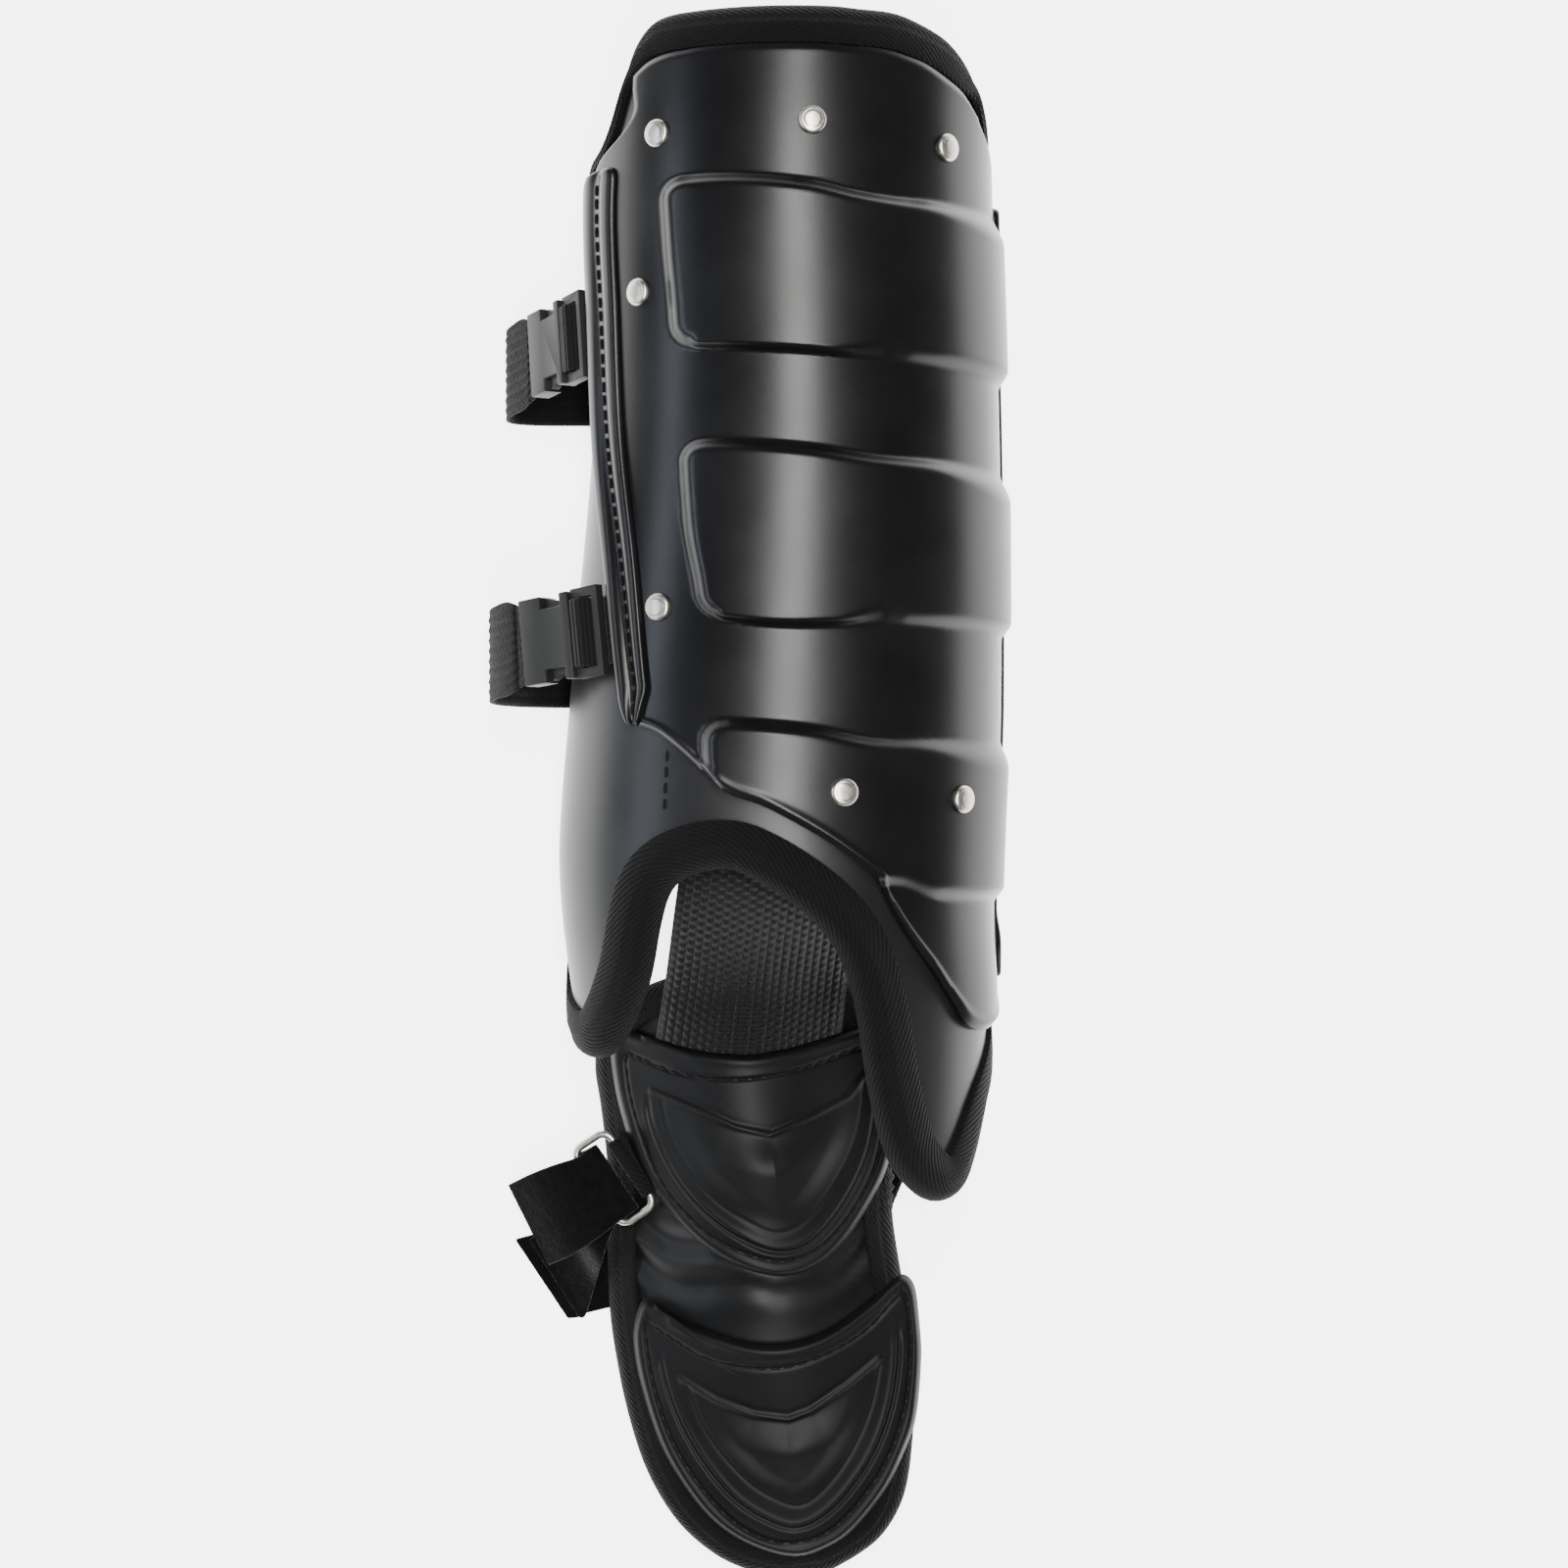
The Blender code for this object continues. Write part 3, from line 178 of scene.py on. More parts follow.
def grained(name, dark, light, roughness, grain, depth, specular=0.5):
    # moulded plastic or vinyl: fine grain, faint mottle and handling marks
    finish = newMaterial(name, light, roughness, specular=specular)
    place = objectPlace(finish)
    fine = addNode(finish, "ShaderNodeTexNoise", Scale=grain, Detail=3.0, Roughness=0.6)
    mottle = addNode(finish, "ShaderNodeTexNoise", Scale=42.0, Detail=4.0, Roughness=0.55)
    for texture in (fine, mottle):
        join(finish, place, texture.inputs["Vector"])
    addTint(finish, mottle.outputs["Fac"], dark, light)
    addRange(finish, mottle.outputs["Fac"], roughness - 0.05, roughness + 0.06, "Roughness")
    addBump(finish, fine.outputs["Fac"], 0.35, depth)
    return finish


def ribbed(name, dark, light, pitch, turn, depth, sheen=0.06, roughness=0.85):
    # woven tape: ribs a pitch in millimetres apart, crossed by finer yarns
    finish = newMaterial(name, light, roughness, sheen=sheen, specular=0.14)
    place = flatPlace(finish, turn)
    scale = 0.314 / pitch
    ribs = addNode(finish, "ShaderNodeTexWave", Scale=scale, Distortion=0.6, Detail=1.0)
    ribs.inputs["Detail Scale"].default_value = 3.0
    join(finish, place, ribs.inputs["Vector"])
    yarns = addNode(finish, "ShaderNodeTexWave", Scale=scale / 0.6, Distortion=0.4)
    yarns.bands_direction = "Y"
    join(finish, place, yarns.inputs["Vector"])
    fluff = addNode(finish, "ShaderNodeTexNoise", Scale=2.2, Detail=4.0, Roughness=0.7)
    join(finish, place, fluff.inputs["Vector"])
    addTint(finish, ribs.outputs["Fac"], dark, light)
    first = addBump(finish, yarns.outputs["Fac"], 0.35, depth * 0.5)
    second = addBump(finish, fluff.outputs["Fac"], 0.5, depth * 0.6, first)
    addBump(finish, ribs.outputs["Fac"], 0.9, depth, second)
    return finish


def furred(name, dark, light, scale, depth, sheen):
    # looped pile of hook tape
    finish = newMaterial(name, light, 0.95, sheen=sheen, specular=0.04)
    place = objectPlace(finish)
    loops = addNode(finish, "ShaderNodeTexVoronoi", Scale=scale)
    fluff = addNode(finish, "ShaderNodeTexNoise", Scale=scale * 0.35, Detail=5.0, Roughness=0.75)
    for texture in (loops, fluff):
        join(finish, place, texture.inputs["Vector"])
    addTint(finish, fluff.outputs["Fac"], dark, light)
    first = addBump(finish, loops.outputs["Distance"], 0.6, depth)
    addBump(finish, fluff.outputs["Fac"], 0.8, depth * 2, first)
    return finish


def platedMetal(name, colour, roughness):
    finish = newMaterial(name, colour, roughness, metallic=1.0)
    place = objectPlace(finish)
    wear = addNode(finish, "ShaderNodeTexNoise", Scale=900.0, Detail=3.0)
    join(finish, place, wear.inputs["Vector"])
    addRange(finish, wear.outputs["Fac"], roughness - 0.07, roughness + 0.1, "Roughness")
    addTint(finish, wear.outputs["Fac"], tuple(c * 0.85 for c in colour), colour)
    addBump(finish, wear.outputs["Fac"], 0.06, 0.00001)
    return finish


# colours dark and light, then roughness, grain, its depth in metres and how much it shines,
# or for cloth the pitch in millimetres, the turn in degrees, the depth, the sheen and the roughness
finishes = {
    "shell": grained(
        "satinShell", (0.0028, 0.0028, 0.0032), (0.0042, 0.0042, 0.0048), 0.30, 3200.0, 0.00004, 0.25
    ),
    "vinyl": grained(
        "softVinyl", (0.006, 0.006, 0.0065), (0.009, 0.009, 0.0095), 0.36, 2600.0, 0.00005, 0.3
    ),
    "padVinyl": grained(
        "footVinyl", (0.003, 0.003, 0.0033), (0.005, 0.005, 0.0053), 0.43, 1900.0, 0.00006, 0.22
    ),
    "cap": grained(
        "mouldedCap", (0.003, 0.003, 0.0032), (0.005, 0.005, 0.0053), 0.48, 2300.0, 0.00005, 0.13
    ),
    "plastic": grained(
        "bucklePlastic", (0.009, 0.0095, 0.009), (0.013, 0.0137, 0.013), 0.5, 2800.0, 0.00003, 0.18
    ),
    "tape": ribbed(
        "bindingTape", (0.0012, 0.0012, 0.0013), (0.0028, 0.0028, 0.003), 1.25, 33, 0.00032, 0.02
    ),
    "elastic": ribbed("ribbedElastic", (0.003, 0.003, 0.0034), (0.005, 0.005, 0.0054), 0.9, 0, 0.0003),
    "webbing": ribbed("flatWebbing", (0.003, 0.003, 0.0033), (0.005, 0.005, 0.0054), 1.3, 0, 0.0003),
    "weave": ribbed(
        "basketWeave", (0.003, 0.003, 0.0036), (0.0085, 0.0085, 0.0098), 0.45, 0, 0.0001, 0.1, 0.5
    ),
    "hook": furred("hookTape", (0.0015, 0.0015, 0.0018), (0.004, 0.004, 0.0044), 1100.0, 0.0002, 0.12),
    "thread": ribbed(
        "sewingThread", (0.002, 0.002, 0.0022), (0.006, 0.006, 0.0065), 0.4, 45, 0.0001, 0.05, 0.7
    ),
    "nickel": platedMetal("satinNickel", (0.52, 0.49, 0.44), 0.34),
}
print("materials ready")


# Making pieces
def keep(piece, finish, replaced=()):
    piece.data.materials.append(finishes[finish])
    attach(piece, "root")
    if replaced:
        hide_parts(*replaced)
    return piece


def toPiece(name, mesh, sharp=40.0):
    data = bpy.data.meshes.new(name)
    mesh.to_mesh(data)
    mesh.free()
    data.shade_smooth()
    data.set_sharp_from_angle(angle=math.radians(sharp))
    piece = bpy.data.objects.new(name, data)
    bpy.context.scene.collection.objects.link(piece)
    return piece


def gridPiece(name, columns, rows, faces, flat=None, capped=False, sharp=40.0, closed=False):
    # a grid whose points go where faces[0] says, and its extruded back where faces[1] says
    mesh = bmesh.new()
    bmesh.ops.create_grid(mesh, x_segments=columns, y_segments=rows, size=0.5)
    inside = set()
    if len(faces) > 1:
        extruded = bmesh.ops.extrude_face_region(mesh, geom=list(mesh.faces), use_keep_orig=True)
        inside = {item for item in extruded["geom"] if isinstance(item, bmesh.types.BMVert)}
    if closed:
        # the walls where the grid's two ends meet, and at its middle, lie inside the piece
        nearEdge = 0.499
        walls = [
            face
            for face in mesh.faces
            if all(abs(vert.co.x) > nearEdge or vert.co.y < -nearEdge for vert in face.verts)
            and 0 < len(inside.intersection(face.verts)) < 4
        ]
        bmesh.ops.delete(mesh, geom=walls, context="FACES_ONLY")
    layer = mesh.loops.layers.uv.new("flat")
    if flat:
        for face in mesh.faces:
            for loop in face.loops:
                loop[layer].uv = flat(loop.vert.co.x + 0.5, loop.vert.co.y + 0.5)
    for vert in mesh.verts:
        place = faces[1] if vert in inside else faces[0]
        vert.co = place(vert.co.x + 0.5, vert.co.y + 0.5)
    bmesh.ops.remove_doubles(mesh, verts=list(mesh.verts), dist=2e-6)
    if capped:
        rims = [edge for edge in mesh.edges if edge.is_boundary]
        bmesh.ops.holes_fill(mesh, edges=rims, sides=columns + 2)
    bmesh.ops.recalc_face_normals(mesh, faces=list(mesh.faces))
    return toPiece(name, mesh, sharp)


stitches = {"size": (0.0034, 0.0011, 0.0009), "capSize": (0.0033, 0.0010, 0.0008), "steps": 400}


def stitchPiece(name, spots, size):
    # one small rounded stitch at each spot: its middle, the way it runs, the way it looks
    mesh = bmesh.new()
    for middle, along, normal in spots:
        side = normal.cross(along).normalized()
        turn = Matrix((along.normalized(), side, along.normalized().cross(side))).transposed().to_4x4()
        shape = Matrix.Diagonal((size[0] / 2, size[1] / 2, size[2] / 2, 1))
        bmesh.ops.create_uvsphere(
            mesh, u_segments=8, v_segments=5, radius=1, matrix=Matrix.Translation(middle) @ turn @ shape
        )
    mesh.loops.layers.uv.new("flat")
    return toPiece(name, mesh, 80)


def stitchSpots(place, first, last, pitch):
    # spots a pitch apart along a line: place gives a point and its outward way
    spots = []
    steps = stitches["steps"]
    before = place(first)[0]
    gone = pitch * 0.5
    for step in range(1, steps + 1):
        point, normal = place(mix(first, last, step / steps))
        gone += (point - before).length
        if gone >= pitch:
            gone -= pitch
            spots.append((point, point - before, normal))
        before = point
    return spots


def roundedSection(width, thickness, steps, turns=6):
    # a flat strap's closed section: across and height, with round edges
    half, radius = width / 2, thickness / 2
    points = [(mix(-half + radius, half - radius, step / steps), radius) for step in range(steps + 1)]
    for turn in range(1, turns):
        angle = math.pi * turn / turns
        points.append((half - radius + radius * math.sin(angle), radius * math.cos(angle)))
    points += [(mix(half - radius, radius - half, step / steps), -radius) for step in range(steps + 1)]
    for turn in range(1, turns):
        angle = math.pi * turn / turns
        points.append((-half + radius - radius * math.sin(angle), -radius * math.cos(angle)))
    return points


def ribbonPiece(name, stations, thickness, perStation=6, steps=12, wobble=None):
    # a strap through stations, each its two edges and the way its face looks
    rows = (len(stations) - 1) * perStation
    tables = [tuple(left) + tuple(right) + tuple(normal) for left, right, normal in stations]
    lengths = [0.0]
    middles = []
    for row in range(rows + 1):
        values = stepRead(tables, row / rows)
        left, right = Vector(values[0:3]), Vector(values[3:6])
        middles.append((left, right, Vector(values[6:9]).normalized()))
        if row:
            before = (middles[-2][0] + middles[-2][1]) / 2
            lengths.append(lengths[-1] + ((left + right) / 2 - before).length)
    width = (middles[rows // 2][1] - middles[rows // 2][0]).length
    section = roundedSection(width, thickness, steps)
    columns = len(section)

    def place(across, along):
        row = round(along * rows)
        left, right, normal = middles[row]
        side, height = section[round(across * columns) % columns]
        share = side / width + 0.5
        point = left.lerp(right, share) + normal * height
        if wobble:
            point += normal * wobble(share, lengths[row])
        return point + origin

    def flat(across, along):
        side = section[round(across * columns) % columns][0]
        return lengths[round(along * rows)], side

    return gridPiece(name, columns, rows, (place,), flat, True)


# Shin form, the same named sizes and tables as the part's solids
shin = {
    "length": 0.350,
    "halfWidth": 0.064,
    "depth": 0.088,
    "sideHeight": 0.038,
    "incurve": 0.008,
    "wall": 0.008,
    "end": -0.129,
    "backLift": 0.00475,
    "shellFoot": 0.0010,
    "shellTop": 0.0034,
    "arcSteps": 60,
}
legSections = (
    (0.000, 0.900, 0.000, 0.880),
    (0.169, 0.969, -0.016, 0.940),
    (0.257, 0.989, -0.053, 0.970),
    (0.320, 1.000, -0.055, 0.985),
    (0.440, 0.989, -0.020, 1.000),
    (0.663, 0.930, 0.031, 1.000),
    (0.883, 0.903, 0.023, 0.985),
    (1.000, 0.883, 0.039, 0.955),
)
sectionCache = {}


def legSection(length):
    key = round(length / shin["length"], 5)
    if key not in sectionCache:
        width, lean, depth = curveRead(legSections, key)
        half = width * shin["halfWidth"]
        rise = depth * shin["depth"] - shin["sideHeight"]
        arc = [0.0]
        point = (0.0, rise)
        for step in range(1, shin["arcSteps"] + 1):
            angle = step / shin["arcSteps"] * math.pi / 2
            beyond = (half * math.sin(angle), rise * math.cos(angle))
            arc.append(arc[-1] + math.dist(point, beyond))
            point = beyond
        sectionCache[key] = (half, rise, lean * shin["halfWidth"], arc)
    return sectionCache[key]


def girth(length):
    return legSection(length)[3][-1] + shin["sideHeight"] - shin["backLift"]


def arcAngle(arc, around):
    low, high = 0, len(arc) - 1
    while high - low > 1:
        middle = (low + high) // 2
        if arc[middle] <= around:
            low = middle
        else:
            high = middle
    return (low + (around - arc[low]) / (arc[high] - arc[low])) / shin["arcSteps"] * math.pi / 2


def onLeg(around, length, height):
    half, rise, middle, arc = legSection(length)
    side = 1 if around >= 0 else -1
    around = abs(around)
    if around <= arc[-1]:
        angle = arcAngle(arc, around)
        across, high = half * math.sin(angle), rise * math.cos(angle)
        normal = Vector((rise * math.sin(angle), half * math.cos(angle))).normalized()
    else:
        below = around - arc[-1]
        bend = shin["incurve"] / (shin["sideHeight"] - shin["backLift"]) ** 2
        across, high = half - bend * below * below, -below
        normal = Vector((1, -2 * bend * below)).normalized()
    across += height * normal.x
    z = shin["sideHeight"] + high + height * normal.y
    return Vector((middle + side * across, shin["end"] + length, z))


def legShare(around, length, height):
    return onLeg(around * girth(length * shin["length"]), length * shin["length"], height)


def legNormal(around, length):
    return (legShare(around, length, 0.003) - legShare(around, length, 0)).normalized()


# Liner: a soft pad whose rim is drawn in by its tape
linerOutline = (
    (-1.000, 0.800, 0.265, 1.00),
    (-0.930, 0.840, 0.212, 0.60),
    (-0.800, 0.875, 0.168, 0.20),
    (-0.690, 0.890, 0.150, 0.17),
    (-0.620, 0.898, 0.143, 0.17),
    (-0.560, 0.904, 0.143, 0.17),
    (-0.510, 0.922, 0.150, 0.17),
    (-0.475, 0.952, 0.160, 0.30),
    (-0.435, 0.982, 0.174, 0.80),
    (-0.385, 0.996, 0.198, 1.00),
    (-0.350, 0.999, 0.222, 1.00),
    (-0.315, 1.000, 0.255, 1.00),
    (-0.280, 1.000, 0.282, 1.00),
    (-0.220, 1.000, 0.298, 1.00),
    (-0.110, 1.000, 0.306, 1.00),
    (-0.030, 1.000, 0.296, 1.00),
    (0.050, 1.000, 0.279, 1.00),
    (0.118, 1.000, 0.260, 1.00),
    (0.170, 0.999, 0.238, 1.00),
    (0.202, 0.999, 0.210, 1.00),
    (0.225, 0.999, 0.170, 1.00),
    (0.247, 0.999, 0.125, 1.00),
    (0.285, 0.998, 0.080, 1.00),
    (0.340, 0.994, 0.047, 1.00),
    (0.440, 0.985, 0.024, 1.00),
    (0.530, 0.968, 0.029, 0.80),
    (0.585, 0.952, 0.052, 0.30),
    (0.640, 0.932, 0.085, 0.17),
    (0.700, 0.914, 0.107, 0.17),
    (0.780, 0.900, 0.132, 0.20),
    (0.900, 0.868, 0.172, 0.60),
    (1.000, 0.820, 0.240, 1.00),
)
liner = {
    "columns": 190,
    "rows": 90,
    "rimDraw": 0.0016,
    "rimReach": 0.012,
    "ripple": 0.0005,
    "fill": 0.7,
    "notchTop": -0.11,
}


def linerFlat(across, along):
    around, top, bottom, _ = stepRead(linerOutline, across)
    length = mix(bottom, top, along) * shin["length"]
    return Vector((around * girth(length), length))


def linerPoint(across, along, inner):
    flat = linerFlat(across, along)
    _, top, bottom, _ = stepRead(linerOutline, across)
    tall = (top - bottom) * shin["length"]
    wide = girth(flat.y) - abs(flat.x)
    edge = min(along * tall, (1 - along) * tall, wide)
    drawn = liner["rimDraw"] * (1 - ease(edge / liner["rimReach"])) ** 2
    ripple = noise.noise(Vector((flat.x * 22, flat.y * 16, 3.1))) * liner["ripple"]
    if inner:
        return onLeg(flat.x, flat.y, -shin["wall"] + drawn) + origin
    return onLeg(flat.x, flat.y, ripple * (1 - drawn / liner["rimDraw"]) - drawn) + origin


def makeLiner():
    def outer(across, along):
        return linerPoint(across, along, False)

    def inner(across, along):
        return linerPoint(across, along, True)

    piece = gridPiece("shin_pad", liner["columns"], liner["rows"], (outer, inner))
    keep(piece, "vinyl", ("shin_liner",))


# Tape folded round the liner's rim
tape = {
    "archWidth": 0.0120,
    "topWidth": 0.0095,
    "backWidth": 0.0070,
    "leastWidth": 0.0016,
    "thickness": 0.0012,
    "lift": 0.0006,
    "hem": 0.0006,
    "roll": 0.0008,
    "rollStart": 0.30,
    "buried": 0.0003,
    "puff": 0.0007,
    "columns": 210,
    "rows": 60,
}


def ringPlaces(columns, rows):
    ring = [(column / columns, 0.0) for column in range(columns)]
    ring += [(1.0, row / rows) for row in range(rows)]
    ring += [(1 - column / columns, 1.0) for column in range(columns)]
    ring += [(0.0, 1 - row / rows) for row in range(rows)]
    return ring


def smoothRing(points, passes):
    for _ in range(passes):
        points = [
            (points[index - 1] + points[index] * 2 + points[(index + 1) % len(points)]) / 4
            for index in range(len(points))
        ]
    return points


def tapeSection(width, wall, puff):
    # inset from the rim and height over the wall's outer face, from the outer edge round to the inner
    thickness, lift = tape["thickness"], tape["lift"]
    middle = -wall / 2
    top = lift + thickness
    reach = gap + thickness + tape["roll"]
    start = wall * tape["rollStart"]
    section = [(width, lift * 0.3), (width, lift + thickness * 0.75), (width - tape["hem"], top)]
    for share in (0.8, 0.6, 0.4):
        section.append((width * share, top + puff * math.sin(math.pi * (1 - share) * 0.8)))
    for turn in range(13):
        angle = math.pi * turn / 12
        inset = start - (start + reach) * math.sin(angle)
        section.append((inset, middle + (top - middle) * math.cos(angle)))
    section += [(width * share, -wall - top) for share in (0.5, 0.75, 1.0)]
    section.append((width, -wall - lift * 0.3))
    section += [(width * 0.5, tape["buried"] - wall), (width * 0.5, -tape["buried"])]
    return section


def sweptTape(name, flatRing, widths, onForm, wall, puff, scallop=None):
    count = len(flatRing)
    lengths = [0.0]
    for index in range(1, count + 1):
        lengths.append(lengths[-1] + (flatRing[index % count] - flatRing[index - 1]).length)
    ways = []
    reach = 3
    for index in range(count):
        ahead = flatRing[(index + reach) % count] - flatRing[index - reach]
        ways.append(Vector((-ahead.y, ahead.x)).normalized())
    ways = smoothRing(ways, 6)
    plain = tapeSection(tape["archWidth"], wall, puff)
    columns = len(plain)

    def place(across, along):
        row = round(along * count) % count
        section = tapeSection(widths[row], wall, puff)
        inset, height = section[round(across * columns) % columns]
        if scallop and inset < wall * tape["rollStart"]:
            inset += scallop(flatRing[row], lengths[row])
        flat = flatRing[row] + ways[row] * inset
        return onForm(flat, height) + origin

    run = [0.0]
    for first, second in zip(plain, plain[1:] + plain[:1]):
        run.append(run[-1] + math.dist(first, second))

    def flat(across, along):
        return run[round(across * columns)], lengths[round(along * count)]

    return gridPiece(name, columns, count, (place,), flat)


def makeLinerTape():
    places = ringPlaces(tape["columns"], tape["rows"])
    ring = smoothRing([linerFlat(*spot) for spot in places], 5)
    widths = []
    for across, along in places:
        share = stepRead(linerOutline, across)[3]
        if along == 0:
            widths.append(tape["archWidth"])
        elif along == 1:
            widths.append(max(tape["topWidth"] * share, tape["leastWidth"]))
        else:
            widths.append(tape["backWidth"])
    widths = smoothRing(widths, 6)

    def onForm(flat, height):
        return onLeg(flat.x, flat.y, height)

    piece = sweptTape("liner_tape", ring, widths, onForm, shin["wall"], tape["puff"])
    keep(piece, "tape", ("liner_binding",))


# Hard shell with raised panels
shellSides = (
    (0.150, -0.330, 0.690),
    (0.190, -0.330, 0.785),
    (0.300, -0.330, 0.795),
    (0.410, -0.330, 0.800),
    (0.440, -0.357, 0.800),
    (0.548, -0.431, 0.800),
    (0.665, -0.524, 0.800),
    (0.767, -0.566, 0.795),
    (0.870, -0.595, 0.770),
    (0.890, -0.560, 0.715),
    (0.908, -0.460, 0.640),
    (0.925, -0.412, 0.560),
    (0.945, -0.418, 0.540),
    (0.980, -0.420, 0.530),
)
shellEnds = (
    (0.000, 0.956, 0.417),
    (0.050, 0.965, 0.409),
    (0.104, 0.969, 0.393),
    (0.158, 0.970, 0.374),
    (0.208, 0.971, 0.360),
    (0.264, 0.971, 0.352),
    (0.319, 0.971, 0.341),
    (0.389, 0.971, 0.325),
    (0.459, 0.971, 0.306),
    (0.512, 0.971, 0.289),
    (0.547, 0.970, 0.265),
    (0.592, 0.970, 0.238),
    (0.646, 0.970, 0.212),
    (0.688, 0.969, 0.192),
    (0.742, 0.966, 0.174),
    (0.800, 0.962, 0.164),
    (0.866, 0.954, 0.161),
    (0.934, 0.945, 0.168),
    (1.000, 0.930, 0.192),
)
panels = (  # top, bottom and left edges, then where the wedge below starts, peaks and ends
    {
        "top": ((-0.35, 0.866), (-0.15, 0.866), (0.04, 0.860), (0.156, 0.852), (0.276, 0.849), (0.80, 0.853)),
        "bottom": (
            (-0.35, 0.726), (-0.235, 0.722), (-0.10, 0.719), (0.04, 0.716), (0.19, 0.712), (0.8, 0.707),
        ),
        "left": ((0.70, -0.284), (0.761, -0.295), (0.801, -0.306), (0.88, -0.322)),
        "wedge": (0.095, 0.215, 0.272),
    },
    {
        "top": ((-0.35, 0.650), (-0.15, 0.650), (0.04, 0.645), (0.19, 0.638), (0.354, 0.636), (0.8, 0.630)),
        "bottom": ((-0.35, 0.503), (-0.174, 0.501), (0.0, 0.495), (0.22, 0.497), (0.5, 0.495), (0.8, 0.492)),
        "left": ((0.48, -0.186), (0.528, -0.208), (0.576, -0.241), (0.66, -0.270)),
        "wedge": (0.130, 0.220, 0.272),
    },
    {
        "top": ((-0.35, 0.424), (-0.09, 0.423), (0.07, 0.418), (0.215, 0.408), (0.377, 0.407), (0.8, 0.404)),
        "bottom": (
            (-0.35, 0.20), (0.12, 0.22), (0.18, 0.262), (0.24, 0.281), (0.30, 0.283), (0.40, 0.272),
            (0.8, 0.268),
        ),
        "left": ((0.30, -0.135), (0.36, -0.150), (0.39, -0.172), (0.45, -0.180)),
        "wedge": (-2.0, -1.9, -1.8),  # none
    },
)
panelForm = {
    "rise": 0.0035,
    "right": 0.715,
    "top": 0.0047,
    "left": 0.0052,
    "bottom": 0.0026,
    "rightSlope": 0.008,
    "corner": 0.0075,
    "wedgeWidth": 0.0046,
    "softening": 0.0024,
}
shell = {"columns": 118, "rows": 300, "edge": 0.0007, "edgeReach": 0.0018, "lip": 0.0005, "lipPlace": 0.0022}


def slope(distance, width):
    # a moulded step: crisp at its foot, rounded over its top
    share = min(max(distance / width, 0), 1)
    return math.sin(share * math.pi / 2) ** 1.3


def panelHeight(around, length):
    total = 0.0
    span = girth(length * shin["length"])
    form = panelForm
    for panel in panels:
        top = curveRead(panel["top"], around)[0]
        bottom = curveRead(panel["bottom"], around)[0]
        if not bottom - 0.01 < length < top + 0.01:
            continue
        left = curveRead(panel["left"], length)[0]
        over = (top - length) * shin["length"]
        under = (length - bottom) * shin["length"]
        beside = (around - left) * span
        beyond = (form["right"] - around) * span
        upright = min(over, under)
        if upright < form["corner"] and beside < form["corner"]:
            beside = form["corner"] - math.hypot(form["corner"] - upright, form["corner"] - beside)
            over, under = (beside, under) if over < under else (over, beside)
        first, peak, last = panel["wedge"]
        wedge = (around - first) / (peak - first) if around < peak else (last - around) / (last - peak)
        low = form["bottom"] + form["wedgeWidth"] * min(max(wedge, 0), 1)
        low += form["softening"] * ease((around - 0.21) / 0.06)
        soft = 1 + 1.1 * ease((around - 0.30) / 0.3)
        share = min(
            slope(over, form["top"] * soft),
            slope(under, low),
            slope(beside, form["left"]),
            slope(beyond, form["rightSlope"]),
        )
        total = max(total, share)
    return total * form["rise"]


def shellSpot(across, along):
    share, top, bottom = stepRead(shellEnds, across)
    length = mix(bottom, top, along)
    left, right = curveRead(shellSides, length)
    return mix(left, right, share), length


def makeShell():
    def outer(across, along):
        around, length = shellSpot(across, along)
        left, right = curveRead(shellSides, length)
        top, bottom = stepRead(shellEnds, across)[1:]
        total = girth(length * shin["length"])
        rim = min((around - left) * total, (right - around) * total)
        rim = min(rim, (length - bottom) * shin["length"], (top - length) * shin["length"])
        fall = shell["edge"] * (1 - ease(rim / shell["edgeReach"]))
        lip = shell["lip"] * bump((length - bottom) * shin["length"] - shell["lipPlace"], 0.0010)
        height = shin["shellTop"] + panelHeight(around, length) - fall + lip
        return legShare(around, length, height) + origin

    def inner(across, along):
        around, length = shellSpot(across, along)
        return legShare(around, length, shin["shellFoot"] + panelHeight(around, length) * 0.95) + origin

    piece = gridPiece("shin_plate", shell["columns"], shell["rows"], (outer, inner), sharp=50)
    keep(piece, "shell", ("shin_shell",))


# Sewn strips over the shell's side edges
strip = {
    "widths": ((0.0098, 0.0192), (0.0120, 0.0120)),  # left and right strip, at foot and top
    "ends": ((0.416, 0.884), (0.200, 0.866)),
    "taper": 0.012,
    "rounding": 0.005,
    "overhang": 0.0030,
    "foot": 0.0037,
    "height": 0.0018,
    "edge": 0.0012,
    "flatter": 0.45,
    "pitch": 0.0042,
    "stitchShare": 0.48,
    "stitchHeight": 0.42,
    "columns": 26,
    "rows": 260,
}
stripProfile = (  # across the strip, height as a share
    (0.00, 0.10),
    (0.04, 0.75),
    (0.12, 1.00),
    (0.24, 1.00),
    (0.34, 0.62),
    (0.42, 0.30),
    (0.54, 0.30),
    (0.62, 0.72),
    (0.72, 1.05),
    (0.88, 1.05),
    (0.96, 0.75),
    (1.00, 0.10),
)


